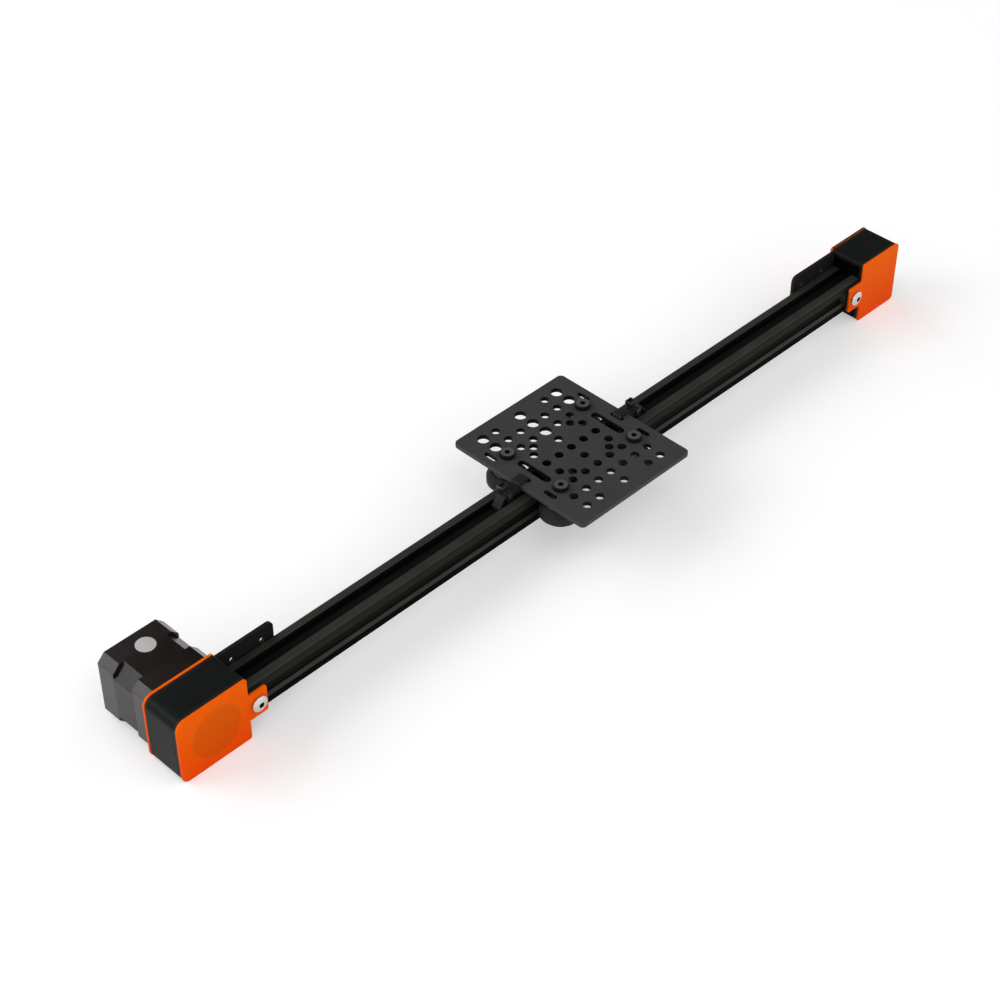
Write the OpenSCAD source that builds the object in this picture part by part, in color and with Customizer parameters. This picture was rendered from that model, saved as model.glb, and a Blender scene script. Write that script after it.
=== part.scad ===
// Belt driven linear axis: a V-wheel carriage on a slotted 20 mm rail,
// pulled by a toothed belt between a stepper motor and an idler pulley.
// X runs along the rail, Z is up, and the motor stands out towards +Y.
// The origin is on the rail's centre line, half way along it.

/* [Rail] */
// Length of the rail
rail_len = 500; // [400:1:1000]
// Width and height of the rail's square section
rail_w = 20; // [20:0.1:22]
// Radius of the rail's outer corners
rail_corner_r = 1.5; // [0.5:0.1:2]
// Width of a slot at the surface, across the V flanks
slot_mouth = 9.16; // [8.8:0.02:9.6]
// Width of a slot between its lips
slot_neck = 6.2; // [6.1:0.05:7]
// Thickness of the lips beside a slot
slot_lip = 1.8; // [1.7:0.05:2.2]
// Width of the undercut behind the lips
slot_inner_w = 11; // [10.4:0.1:11.6]
// Height of the undercut's straight side
slot_side_h = 1.5; // [1:0.1:1.8]
// Depth of a slot from the surface
slot_depth = 6.1; // [5.8:0.05:6.4]
// Bore through the rail's core
rail_bore_d = 4.2; // [3:0.1:5]

/* [End housings] */
// Thickness of the black inner plates that lie on the rail's sides
frame_t = 2; // [1.5:0.1:3]
// Thickness of the coloured outer plates
plate_t = 1.5; // [1:0.1:3]
// How far the side plates stand above and below the motor
plate_margin = 0.05; // [0.05:0.05:3]
// How far the motor end's side plates reach past the motor
motor_plate_over = 2.55; // [2:0.05:10]
// Length of the idler end's side plates, without the tab
idler_plate_l = 35; // [30:0.5:45]
// Length of a plate's fixing tab along the rail
tab_l = 12; // [11:0.5:16]
// Height of a plate's fixing tab
tab_h = 17.5; // [14:0.5:19.5]
// Distance from the rail's end to a tab's screw
tab_screw_inset = 6; // [5.5:0.1:6.5]
// Radius of the motor plates' outer top corner
motor_top_r = 6; // [2:0.5:8]
// Radius of the motor plates' outer bottom corner
motor_bottom_r = 4.5; // [1:0.5:6]
// Radius of the idler plates' outer corners
idler_outer_r = 2.5; // [0.5:0.5:5]
// Radius of every small plate corner
small_r = 1.5; // [0.5:0.1:2]
// Wall thickness of the covers
cover_wall = 2.2; // [1.2:0.1:2.6]
// How far the black shells sit back from the coloured plates' edges
cover_inset = 0.2; // [0.05:0.05:0.5]
// Diameter of the round posts that tie the two sides of a housing together
post_d = 5.5; // [5:0.1:6]

/* [Rear brackets] */
// Length along the rail of the motor end's rear bracket
motor_bracket_l = 37.5; // [35:0.5:50]
// Length along the rail of the idler end's rear bracket
idler_bracket_l = 40; // [35:0.5:50]
// Height of a bracket above the rail's top face
bracket_rise = 10; // [8:0.5:10.5]
// Radius of a bracket's free upper corner
bracket_r = 3.5; // [1:0.5:5]
// Spacing of the two holes in a bracket
bracket_pitch = 20; // [15:0.5:21]
// Distance from a bracket's free end to its first hole
bracket_hole_inset = 8; // [7:0.5:9]
// Height of those holes above the rail's top face
bracket_hole_rise = 1.5; // [1:0.1:4]
// Diameter of those holes
bracket_hole_d = 3.2; // [2.5:0.1:5]

/* [Motor] */
// Side of the motor's square face
motor_w = 42.3; // [42:0.1:42.6]
// Length of the motor body
motor_len = 39; // [34:0.5:60]
// Length of the front end cap
front_cap_l = 11.5; // [11:0.5:13]
// Length of the rear end cap
rear_cap_l = 12.5; // [11:0.5:13]
// Corner chamfer of the end caps
cap_chamfer = 4.65; // [3.5:0.05:5]
// Corner chamfer of the steel stack between the caps
stack_chamfer = 7.75; // [6:0.05:8]
// Distance from the motor's sides to its fixing screws
motor_hole_inset = 5.65; // [5.5:0.05:5.8]
// Diameter of the round boss on the motor's face
boss_d = 22; // [21:0.5:23]
// Height of the round boss
boss_h = 2; // [1:0.1:2.5]
// Diameter of the motor shaft
shaft_d = 5; // [4:0.5:5]
// Length of the shaft in front of the motor's face
shaft_len = 22; // [20:0.5:22.5]
// Gap along the rail between the rail's end and the motor body
motor_gap = 0.15; // [0:0.05:1]

/* [Belt and pulleys] */
// Tooth pitch of the belt
belt_pitch = 2; // [2:0.01:2.02]
// Number of teeth on each pulley
pulley_teeth = 20; // [20:1:20]
// Width of the belt
belt_w = 6; // [5:0.1:6]
// Thickness of the belt's back, without its teeth
belt_back_t = 0.63; // [0.5:0.01:0.8]
// Height of a belt tooth
belt_tooth_h = 0.75; // [0.6:0.01:0.8]
// Distance from the tooth roots to the pitch line
pitch_line_h = 0.254; // [0.2:0.002:0.3]
// Width of the toothed part of each pulley
pulley_face_w = 7; // [6.4:0.1:8]
// Diameter of the pulley flanges
flange_d = 16; // [15:0.1:17]
// Thickness of each pulley flange
flange_t = 1; // [0.8:0.1:1.5]
// Diameter of the drive pulley's hub
hub_d = 13; // [11:0.5:16]
// Distance from the rail's end to the idler axle
idler_axle_inset = 17.5; // [12:0.5:18]

/* [Carriage plate] */
// Length of the carriage plate along the rail
carriage_l = 88; // [88:0.5:96]
// Width of the carriage plate across the rail
carriage_w = 100; // [98:0.5:120]
// Thickness of the carriage plate
carriage_t = 3; // [2:0.1:4]
// Radius of the carriage plate's corners
carriage_r = 3; // [1:0.5:5]
// Pitch of the carriage plate's hole grid
grid = 10; // [9.8:0.1:10.2]
// Diameter of the plain holes
hole_d = 5.1; // [5.1:0.1:5.6]
// Diameter of the larger holes, which also take an eccentric spacer
big_hole_d = 7.2; // [7.2:0.1:7.6]
// Overall length of the two adjusting slots
slot_len = 24; // [20:0.5:26]
// Width of the belt slots
belt_slot_w = 3; // [2.6:0.1:3.2]
// Length of the belt slots
belt_slot_l = 9; // [7:0.5:10]
// Distance from the plate's end to the belt slots' centre line
belt_slot_inset = 6; // [5.6:0.1:6.2]

/* [V wheels] */
// Largest diameter of a wheel
wheel_d = 23.9; // [22:0.1:25]
// Width of a wheel
wheel_w = 10.2; // [9.8:0.1:10.4]
// Width of the flat tip between a wheel's two flanks
wheel_tip_w = 5.1; // [4.6:0.1:5.6]
// Gap between a wheel's flanks and the rail's flanks
wheel_gap = 0.15; // [0.1:0.01:0.3]
// Outer diameter of a wheel bearing
bearing_d = 16; // [15:0.5:16]
// Width of a wheel bearing
bearing_w = 5; // [4.8:0.1:5]
// Thickness of the shims beside the bearings
shim_t = 1; // [0.8:0.1:1.2]
// Height of the spacers between shim and carriage plate
spacer_h = 6.35; // [6.1:0.05:8]
// Offset between an eccentric spacer's collar and its bore
eccentric_offset = 0.8; // [0.4:0.1:1]

/* [Fasteners] */
// Diameter of the larger screws
screw_d = 5; // [4.8:0.1:5]
// Diameter of the smaller screws
small_screw_d = 3; // [2.9:0.1:3]
// Length of the wheel screws under their heads
wheel_screw_l = 25; // [25:1:35]
// How deep the tab and bracket screws reach into the rail's slots
slot_screw_reach = 5; // [4.5:0.1:5.3]
// Diameter of the domed screw heads
button_d = 9.5; // [9:0.1:9.8]
// Height of the domed screw heads
button_h = 2.75; // [2.4:0.05:3]
// Diameter of the low flat screw heads on the carriage
low_head_d = 9; // [8.5:0.1:9.4]
// Height of the low flat screw heads on the carriage
low_head_h = 2.8; // [2.4:0.1:3.2]
// Width across flats of the hexagon sockets
hex_key = 3; // [2.5:0.5:3]
// Radial clearance between a shaft and what turns on it
run_fit = 0.05; // [0.03:0.01:0.08]

/* [Hidden] */

$fn = 64;
cut = 0.5;              // how far a cutting tool runs past a face
face_gap = 0.05;        // gap between flat faces that lie on each other

half_rail = rail_w / 2;
rail_end = rail_len / 2;
frame_out = half_rail + frame_t;
plate_out = frame_out + plate_t;
motor_plate_l = motor_gap + motor_w + motor_plate_over;
plate_h = motor_w + 2 * plate_margin;
half_h = plate_h / 2;

// Rail slots
slot_floor = half_rail - slot_depth;
slot_floor_w = slot_inner_w - 2 * (slot_depth - slot_lip - slot_side_h);

// Motor and drive
motor_x = -(rail_end + motor_gap + motor_w / 2);
motor_hole_pitch = motor_w - 2 * motor_hole_inset;
motor_face = plate_out;
motor_back = motor_face + motor_len;
stack_start = motor_face + front_cap_l;
stack_end = motor_back - rear_cap_l;
cap_wall = 2;                       // wall of an end cap beside its bearing
mount_screw_in = 4.2;               // how far a fixing screw enters the front cap
tie_screw_in = 4;                   // how far a tie screw enters the front cap
motor_bearing_d = 16;
motor_bearing_w = 5;
motor_bearing_y = [motor_face + cap_wall, motor_back - cap_wall - motor_bearing_w];
rotor_d = 26;
rotor_gap = 0.3;
rotor_clear = 1.5;                  // rotor's distance from the stack's ends
can_wall = 5.15;                    // wall of the caps beside the windings
winding_d = motor_w - 2 * can_wall;
tie_head_d = 5.5;
tie_head_h = 2.5;
socket_w = 16;
socket_h = 6;
socket_depth = 6;
socket_proud = 1.5;
socket_wall = 0.8;

// Belt
pitch_r = pulley_teeth * belt_pitch / (2 * PI);
belt_in = pitch_r - pitch_line_h;
belt_out = belt_in + belt_back_t;
belt_t = belt_back_t + belt_tooth_h;
pulley_gap = 0.15;                  // gap between a pulley's teeth and the belt
pulley_r = belt_in - pulley_gap;
groove_r = 0.56;
idler_x = rail_end + idler_axle_inset;
pulley_half = pulley_face_w / 2 + flange_t;
idler_bearing_d = 8;
idler_bearing_w = 2.5;
axle_head_d = button_d;
spacer_d = 8;
axle_short = 0.5;                   // how far the axle stays inside the front frame
post_room = 0.55;                   // gap between a post and the cover's wall
post_z = half_h - cover_inset - cover_wall - post_room - post_d / 2;
hub_end = half_rail + 0.2;
set_screw_y = (pulley_half + hub_end) / 2;

// Wheels and carriage
wheel_offset = wheel_d / 2 + wheel_tip_w / 2 - slot_mouth / 2 + wheel_gap * sqrt(2);
wheel_y = half_rail + wheel_offset;
wheel_x = 3 * grid;
bearing_top = shim_t / 2 + bearing_w;
spacer_base = bearing_top + shim_t;
carriage_z = spacer_base + spacer_h;
carriage_top = carriage_z + carriage_t;
collar_h = carriage_t - 0.5;
collar_gap = 0.05;
spacer_flats = 10;
nut_flats = 8;
nut_h = 3.2;
screw_gap = 0.05;
belt_slot_x = carriage_l / 2 - belt_slot_inset;
belt_slot_ys = [-2 * grid, 0, 2.6 * grid];
wheel_places = [
    [-wheel_x, -wheel_y], [wheel_x, -wheel_y],
    [-wheel_x - eccentric_offset, wheel_y], [wheel_x + eccentric_offset, wheel_y]
];

// Small parts
nut_body_w = slot_inner_w - 1.2;
nut_l = 10;
nut_t = 2.9;
tie_w = 3.6;
tie_t = 1;
tie_head = [5, 4.5, 3];

// Colours
coated_black = "#1b1c1e";
orange = "#e8560f";
steel = "#c9cbcd";
zinc = "#8d9094";
rubber_black = "#151515";
resin_black = "#202123";

// ---------- general shapes ----------

// Extrudes a drawing in X and Z from y0 to y1.
module along_y(y0, y1) {
    translate([0, y1, 0]) rotate([90, 0, 0]) linear_extrude(y1 - y0) children();
}

// Extrudes a drawing in Y and Z from x0 to x1.
module along_x(x0, x1) {
    translate([x0, 0, 0]) rotate([90, 0, 90]) linear_extrude(x1 - x0) children();
}

// A rectangle from low to high, with a radius for each corner:
// bottom left, bottom right, top right, top left.
module rounded_rect(low, high, r) {
    corners = [low, [high.x, low.y], high, [low.x, high.y]];
    difference() {
        translate(low) square(high - low);
        for (i = [0:3]) if (r[i] > 0) translate(corners[i]) rotate(90 * i) difference() {
            translate([-cut, -cut]) square(r[i] + cut);
            translate([r[i], r[i]]) circle(r[i]);
        }
    }
}

// A slot with round ends, its long side along Y.
module slot_shape(length, width) {
    square([width, length - width], center = true);
    for (side = [-1, 1]) translate([0, side * (length - width) / 2]) circle(d = width);
}

// A square with chamfered corners.
module chamfered_square(width, chamfer) {
    h = width / 2;
    c = h - chamfer;
    polygon([[-c, -h], [c, -h], [h, -c], [h, c], [c, h], [-c, h], [-h, c], [-h, -c]]);
}

// A hexagon of a given width across flats.
module hexagon(flats) {
    circle(d = flats / cos(30), $fn = 6);
}

// A ring around Z that stands on z = 0.
module ring(outer_d, inner_d, height) {
    linear_extrude(height) difference() {
        circle(d = outer_d);
        circle(d = inner_d);
    }
}

// A ring around the Y axis line at x, from y0 to y1.
module ring_y(outer_d, inner_d, x, y0, y1) {
    along_y(y0, y1) translate([x, 0]) difference() {
        circle(d = outer_d);
        circle(d = inner_d);
    }
}

// A screw with a domed head on z = 0 and its shank downwards.
module button_screw(length) {
    difference() {
        rotate_extrude() {
            intersection() {
                square([button_d / 2, button_h]);
                translate([0, button_h - button_d]) circle(button_d, $fn = 96);
            }
            translate([0, -length]) square([screw_d / 2, length + cut]);
        }
        translate([0, 0, button_h - 1.6]) linear_extrude(1.6 + cut) hexagon(hex_key);
    }
}

// A screw with a low flat head on z = 0 and its shank downwards.
module low_head_screw(length) {
    edge = 0.5;
    difference() {
        union() {
            rotate_extrude() polygon([
                [0, 0], [low_head_d / 2, 0], [low_head_d / 2, low_head_h - edge],
                [low_head_d / 2 - edge, low_head_h], [0, low_head_h]
            ]);
            translate([0, 0, -length]) cylinder(d = screw_d, h = length + cut);
        }
        translate([0, 0, low_head_h - 1.7]) linear_extrude(1.7 + cut) hexagon(hex_key);
    }
}

// A small cap screw with its head on z = 0 and its shank downwards.
module small_screw(length, head_d, head_h) {
    socket_d = 0.5 * head_d;
    difference() {
        union() {
            cylinder(d = head_d, h = head_h);
            translate([0, 0, -length]) cylinder(d = small_screw_d, h = length + cut);
        }
        translate([0, 0, head_h - 1.3]) linear_extrude(1.3 + cut) hexagon(socket_d);
    }
}

// A ball bearing around Z on z = 0, with a shield groove in each face.
module bearing(outer_d, inner_d, width) {
    rim = (outer_d - inner_d) / 2 * 0.28;
    sunk = 0.3;
    rotate_extrude() translate([inner_d / 2, 0]) polygon([
        [0, 0], [rim, 0], [rim, sunk], [(outer_d - inner_d) / 2 - rim, sunk],
        [(outer_d - inner_d) / 2 - rim, 0], [(outer_d - inner_d) / 2, 0],
        [(outer_d - inner_d) / 2, width], [(outer_d - inner_d) / 2 - rim, width],
        [(outer_d - inner_d) / 2 - rim, width - sunk], [rim, width - sunk],
        [rim, width], [0, width]
    ]);
}

// Turns a part built around Z so that it lies along Y, facing -Y or +Y.
module facing(side) {
    rotate([side < 0 ? 90 : -90, 0, 0]) children();
}

// ---------- rail ----------

// One rail slot, drawn at the top of the section.
module slot_section() {
    m = slot_mouth / 2;
    n = slot_neck / 2;
    w = slot_inner_w / 2;
    f = slot_floor_w / 2;
    lip = half_rail - slot_lip;
    side = lip - slot_side_h;
    half = [
        [m + cut, half_rail + cut], [m, half_rail], [n, half_rail - (m - n)], [n, lip],
        [w, lip], [w, side], [f, slot_floor]
    ];
    polygon(concat(half, [for (i = [len(half) - 1:-1:0]) [-half[i].x, half[i].y]]));
}

module rail() {
    color(coated_black) along_x(-rail_end, rail_end) difference() {
        rounded_rect([-half_rail, -half_rail], [half_rail, half_rail], [for (i = [0:3]) rail_corner_r]);
        for (turn = [0:90:270]) rotate(turn) slot_section();
        circle(d = rail_bore_d);
    }
}

// ---------- end housings ----------

// Outline of a housing from the side, with the rail's end at x = 0.
module housing_outline(length, top_r, bottom_r, inset) {
    rounded_rect([0, inset - half_h], [length - inset, half_h - inset],
                 [small_r, bottom_r, top_r, small_r]);
}

// Outline of the tab that lies on the front of the rail.
module tab_outline(inset) {
    rounded_rect([inset - tab_l, inset - tab_h / 2], [small_r, tab_h / 2 - inset],
                 [small_r, 0, 0, small_r]);
}

// Outline of the bracket that lies on the back of the rail and rises above it.
module bracket_outline(length) {
    rounded_rect([-length, -half_rail], [small_r, half_rail + bracket_rise],
                 [small_r, 0, 0, bracket_r]);
}

// Puts a drawing made from the rail's end at the motor end or the idler end.
module at_end(side) {
    mirror([side < 0 ? 1 : 0, 0, 0]) translate([rail_end, 0, 0]) children();
}

module tab_hole() {
    translate([-tab_screw_inset, 0]) circle(d = screw_d + 0.3);
}

// Places of a bracket's two columns of holes.
function bracket_xs(length) = [for (i = [0, 1]) bracket_hole_inset + i * bracket_pitch - length];

// A coloured plate on the front of a housing, with its tab.
module front_plate(end, length, top_r, bottom_r) {
    color(orange) at_end(end) along_y(-plate_out, -frame_out - face_gap) difference() {
        union() {
            housing_outline(length, top_r, bottom_r, 0);
            tab_outline(0);
        }
        tab_hole();
    }
}

// The black plate under it, which closes the front of the housing.
module front_frame(end, length, top_r, bottom_r) {
    color(coated_black) at_end(end) along_y(-frame_out, -half_rail - face_gap) difference() {
        union() {
            housing_outline(length, top_r, bottom_r, cover_inset);
            tab_outline(cover_inset);
        }
        tab_hole();
        children();
    }
}

// The black plate on the back of a housing, which carries on as the bracket.
module rear_frame(end, length, bracket, top_r, bottom_r) {
    color(coated_black) at_end(end) along_y(half_rail + face_gap, frame_out) difference() {
        union() {
            housing_outline(length, top_r, bottom_r, cover_inset);
            bracket_outline(bracket);
        }
        for (x = bracket_xs(bracket)) {
            translate([x, half_rail + bracket_hole_rise]) circle(d = bracket_hole_d);
            translate([x, 0]) circle(d = screw_d + 0.3);
        }
        children();
    }
}

// A coloured plate on the back of a housing.
module rear_plate(end, length, top_r, bottom_r) {
    color(orange) at_end(end) along_y(frame_out + face_gap, plate_out) difference() {
        housing_outline(length, top_r, bottom_r, 0);
        children();
    }
}

motor_from_end = -motor_x - rail_end;   // the motor's axis, seen from the rail's end
post_hole = small_screw_d + 2 * screw_gap;

// Holes of the motor's boss, its fixing screws and the posts.
module motor_end_holes() {
    translate([motor_from_end, 0]) {
        circle(d = boss_d + 0.4);
        motor_corners() circle(d = small_screw_d + 0.3);
        for (z = [-post_z, post_z]) translate([0, z]) circle(d = post_hole);
    }
}

// Holes of the idler's axle and the posts.
module idler_end_holes() {
    translate([idler_axle_inset, 0]) {
        circle(d = screw_d + 2 * screw_gap);
        for (z = [-post_z, post_z]) translate([0, z]) circle(d = post_hole);
    }
}

module motor_end_front_plate() {
    front_plate(-1, motor_plate_l, motor_top_r, motor_bottom_r);
}

module motor_end_front_frame() {
    front_frame(-1, motor_plate_l, motor_top_r, motor_bottom_r)
        translate([motor_from_end, 0]) for (z = [-post_z, post_z]) translate([0, z]) circle(d = post_hole);
}

module motor_end_rear_frame() {
    rear_frame(-1, motor_plate_l, motor_bracket_l, motor_top_r, motor_bottom_r) motor_end_holes();
}

module motor_end_rear_plate() {
    rear_plate(-1, motor_plate_l, motor_top_r, motor_bottom_r) motor_end_holes();
}

module idler_end_front_plate() {
    front_plate(1, idler_plate_l, idler_outer_r, idler_outer_r);
}

module idler_end_front_frame() {
    front_frame(1, idler_plate_l, idler_outer_r, idler_outer_r) idler_end_holes();
}

module idler_end_rear_frame() {
    rear_frame(1, idler_plate_l, idler_bracket_l, idler_outer_r, idler_outer_r) idler_end_holes();
}

module idler_end_rear_plate() {
    rear_plate(1, idler_plate_l, idler_outer_r, idler_outer_r) idler_end_holes();
}

// The shell that closes a housing between its two sides. Its inner wall
// meets the rail's end and has a window for the two runs of the belt.
module end_cover(end, length, top_r, bottom_r) {
    w = cover_wall;
    e = cover_inset;
    window_w = belt_w + 2.4;
    window_h = 2 * (half_rail - 1.2);
    color(resin_black) at_end(end) difference() {
        along_y(-half_rail + face_gap, half_rail - face_gap) difference() {
            rounded_rect([face_gap, e - half_h], [length - e, half_h - e],
                         [small_r, bottom_r, top_r, small_r]);
            rounded_rect([w, e + w - half_h], [length - e - w, half_h - e - w],
                         [0.5, max(bottom_r - w, 0.5), max(top_r - w, 0.5), 0.5]);
        }
        translate([-cut, -window_w / 2, -window_h / 2]) cube([w + 2 * cut, window_w, window_h]);
    }
}

module motor_end_cover() {
    end_cover(-1, motor_plate_l, motor_top_r, motor_bottom_r);
}

module idler_end_cover() {
    end_cover(1, idler_plate_l, idler_outer_r, idler_outer_r);
}

// Two posts between the front and rear frames, each with a stub riveted into the front one.
module posts(x) {
    color(steel) for (z = [-post_z, post_z]) difference() {
        translate([0, 0, z]) union() {
            ring_y(post_d, 0, x, -half_rail + face_gap, half_rail - face_gap);
            ring_y(small_screw_d, 0, x, -frame_out, -half_rail + 1);
        }
        translate([0, 0, z]) ring_y(small_screw_d + 2 * screw_gap, 0, x, half_rail - 6, half_rail + cut);
    }
}

module motor_end_posts() { posts(motor_x); }
module idler_end_posts() { posts(idler_x); }

// Flush screws through the rear plates into the posts.
module post_screws() {
    color(zinc) for (x = [motor_x, idler_x], z = [-post_z, post_z]) difference() {
        translate([0, 0, z]) ring_y(small_screw_d, 0, x, half_rail - 5, plate_out);
        translate([x, plate_out - 1.2, z]) facing(1) linear_extrude(1.2 + cut) hexagon(1.5);
    }
}

// ---------- rail fasteners ----------

tab_screw_x = rail_end - tab_screw_inset;
bracket_screw_xs = concat([for (x = bracket_xs(motor_bracket_l)) -(rail_end + x)],
                          [for (x = bracket_xs(idler_bracket_l)) rail_end + x]);

module tab_screws() {
    color(steel) for (end = [-1, 1])
        translate([end * tab_screw_x, -plate_out, 0]) facing(-1)
            button_screw(plate_out - half_rail + slot_screw_reach);
}

module bracket_screws() {
    color(coated_black) for (x = bracket_screw_xs)
        translate([x, frame_out, 0]) facing(1) button_screw(frame_t + slot_screw_reach);
}

// A nut that grips behind the lips of a slot, around Z with the rail's face at z = 0.
module slot_nut() {
    w = nut_body_w / 2;
    n = slot_neck / 2 - 0.15;
    top = -slot_lip - face_gap;
    difference() {
        rotate([90, 0, 90]) linear_extrude(nut_l, center = true) polygon([
            [-n, -0.6], [-n, top], [-w, top], [-w, top - 1], [-w + nut_t - 1, top - nut_t],
            [w - nut_t + 1, top - nut_t], [w, top - 1], [w, top], [n, top], [n, -0.6]
        ]);
        translate([0, 0, -slot_depth - cut])
            cylinder(d = screw_d + 2 * screw_gap, h = slot_depth + 2 * cut);
    }
}

module slot_nuts() {
    color(zinc) {
        for (end = [-1, 1])
            translate([end * tab_screw_x, -half_rail, 0]) facing(-1) slot_nut();
        for (x = bracket_screw_xs) translate([x, half_rail, 0]) facing(1) slot_nut();
    }
}

// ---------- motor ----------

// The four fixing places around the motor's axis.
module motor_corners() {
    p = motor_hole_pitch / 2;
    for (x = [-p, p], z = [-p, p]) translate([x, z]) children();
}

module motor_front_cap() {
    bearing_end = motor_bearing_y[0] + motor_bearing_w;
    color(zinc) difference() {
        union() {
            along_y(motor_face, stack_start) translate([motor_x, 0])
                chamfered_square(motor_w, cap_chamfer);
            along_y(motor_face - boss_h, motor_face + cut) translate([motor_x, 0])
                circle(d = boss_d);
        }
        along_y(motor_face - boss_h - cut, stack_start) translate([motor_x, 0])
            circle(d = shaft_d + 3);
        along_y(motor_bearing_y[0], stack_start) translate([motor_x, 0])
            circle(d = motor_bearing_d + 0.02);
        along_y(bearing_end, stack_start + cut) translate([motor_x, 0]) circle(d = winding_d);
        along_y(motor_face - cut, motor_face + mount_screw_in + 0.3) translate([motor_x, 0])
            motor_corners() circle(d = small_screw_d + 2 * screw_gap);
        along_y(stack_start - tie_screw_in - 0.5, stack_start + cut) translate([motor_x, 0])
            motor_corners() circle(d = small_screw_d + 2 * screw_gap);
    }
}

module motor_stator() {
    color(coated_black) along_y(stack_start, stack_end) translate([motor_x, 0]) difference() {
        chamfered_square(motor_w, stack_chamfer);
        circle(d = rotor_d + 2 * rotor_gap);
        motor_corners() circle(d = small_screw_d + 2 * screw_gap);
    }
}

module motor_rear_cap() {
    inner = motor_bearing_y[1];
    color(coated_black) difference() {
        along_y(stack_end, motor_back) translate([motor_x, 0])
            chamfered_square(motor_w, cap_chamfer);
        along_y(inner, inner + motor_bearing_w) translate([motor_x, 0])
            circle(d = motor_bearing_d + 0.02);
        along_y(stack_end - cut, inner) translate([motor_x, 0]) circle(d = winding_d);
        along_y(stack_end - cut, motor_back + cut) translate([motor_x, 0])
            motor_corners() circle(d = small_screw_d + 2 * screw_gap);
        along_y(motor_back - tie_head_h, motor_back + cut) translate([motor_x, 0])
            motor_corners() circle(d = tie_head_d + 0.4);
        socket_block(0);
    }
}

// The place of the cable socket in the side of the rear cap that faces the rail.
module socket_block(shrink) {
    side = motor_x + motor_w / 2;
    mid = (stack_end + motor_back) / 2;
    translate([side - socket_depth + shrink, mid - socket_h / 2 + shrink, -socket_w / 2 + shrink])
        cube([socket_depth + cut, socket_h - 2 * shrink, socket_w - 2 * shrink]);
}

module motor_socket() {
    side = motor_x + motor_w / 2;
    mid = (stack_end + motor_back) / 2;
    w = socket_wall;
    color("#e9e6da") difference() {
        translate([side - socket_depth + face_gap, mid - socket_h / 2 + face_gap, -socket_w / 2 + face_gap])
            cube([socket_depth + socket_proud, socket_h - 2 * face_gap, socket_w - 2 * face_gap]);
        translate([side - socket_depth + 1.5, mid - socket_h / 2 + w, -socket_w / 2 + w])
            cube([socket_depth + socket_proud + cut, socket_h - 2 * w, socket_w - 2 * w]);
    }
}

module motor_mount_screws() {
    color(zinc) translate([motor_x, half_rail, 0]) facing(-1) motor_corners()
        small_screw(plate_out - half_rail + mount_screw_in, tie_head_d, 3);
}

module motor_tie_screws() {
    color(zinc) translate([motor_x, motor_back - tie_head_h, 0]) facing(1) motor_corners()
        small_screw(motor_back - tie_head_h - stack_start + tie_screw_in, tie_head_d, tie_head_h - 0.3);
}

module motor_bearings() {
    color(steel) for (y = motor_bearing_y)
        translate([motor_x, y, 0]) facing(1)
            bearing(motor_bearing_d, shaft_d + 2 * run_fit, motor_bearing_w);
}

module motor_shaft() {
    color(steel) along_y(motor_face - shaft_len, motor_back - cap_wall - 0.5)
        translate([motor_x, 0]) circle(d = shaft_d);
}

module motor_rotor() {
    color(zinc) ring_y(rotor_d, shaft_d + 2 * face_gap, motor_x,
                       stack_start + rotor_clear, stack_end - rotor_clear);
}

// ---------- belt and pulleys ----------

// Outline of a toothed pulley in X and Z.
module pulley_teeth_shape() {
    difference() {
        circle(r = pulley_r);
        for (i = [0:pulley_teeth - 1]) rotate(i * 360 / pulley_teeth)
            translate([pulley_r - belt_tooth_h + groove_r + 0.1, 0]) circle(r = groove_r, $fn = 24);
    }
}

module pulley_body() {
    along_y(-pulley_face_w / 2, pulley_face_w / 2) pulley_teeth_shape();
    for (side = [-1, 1]) translate([0, side * (pulley_face_w + flange_t) / 2, 0])
        along_y(-flange_t / 2, flange_t / 2) circle(d = flange_d);
}

module drive_pulley() {
    color(zinc) translate([motor_x, 0, 0]) difference() {
        union() {
            pulley_body();
            along_y(pulley_half - cut, hub_end) circle(d = hub_d);
        }
        along_y(-pulley_half - cut, hub_end + cut) circle(d = shaft_d + 0.04);
        for (turn = [0, 90]) translate([0, set_screw_y, 0]) rotate([0, turn, 0])
            cylinder(d = small_screw_d, h = hub_d);
    }
}

module pulley_set_screws() {
    length = (hub_d - shaft_d) / 2 - 0.6;
    color(coated_black) for (turn = [0, 90])
        translate([motor_x, set_screw_y, 0]) rotate([0, turn, 0])
            translate([0, 0, shaft_d / 2 + 0.1]) difference() {
                cylinder(d = small_screw_d - 0.1, h = length);
                translate([0, 0, length - 1.2]) linear_extrude(1.2 + cut) hexagon(1.5);
            }
}

module idler_pulley() {
    color(zinc) translate([idler_x, 0, 0]) difference() {
        pulley_body();
        along_y(-pulley_half - cut, pulley_half + cut) circle(d = spacer_d - 1);
        for (side = [-1, 1]) translate([0, side * (pulley_half - idler_bearing_w / 2), 0])
            along_y(-idler_bearing_w / 2 - (side < 0 ? cut : 0), idler_bearing_w / 2 + (side > 0 ? cut : 0))
                circle(d = idler_bearing_d + 2 * run_fit);
    }
}

module idler_bearings() {
    color(steel) for (side = [-1, 1])
        translate([idler_x, side * pulley_half, 0]) facing(-side)
            bearing(idler_bearing_d, screw_d + 2 * screw_gap, idler_bearing_w);
}

module idler_spacers() {
    color(steel) for (side = [-1, 1])
        ring_y(spacer_d - 1, screw_d + 2 * screw_gap, idler_x,
               side < 0 ? -half_rail : pulley_half,
               side < 0 ? -pulley_half : half_rail);
}

module idler_axle() {
    length = plate_out + frame_out - axle_short;
    color(steel) translate([idler_x, plate_out, 0]) facing(1) button_screw(length);
}

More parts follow.
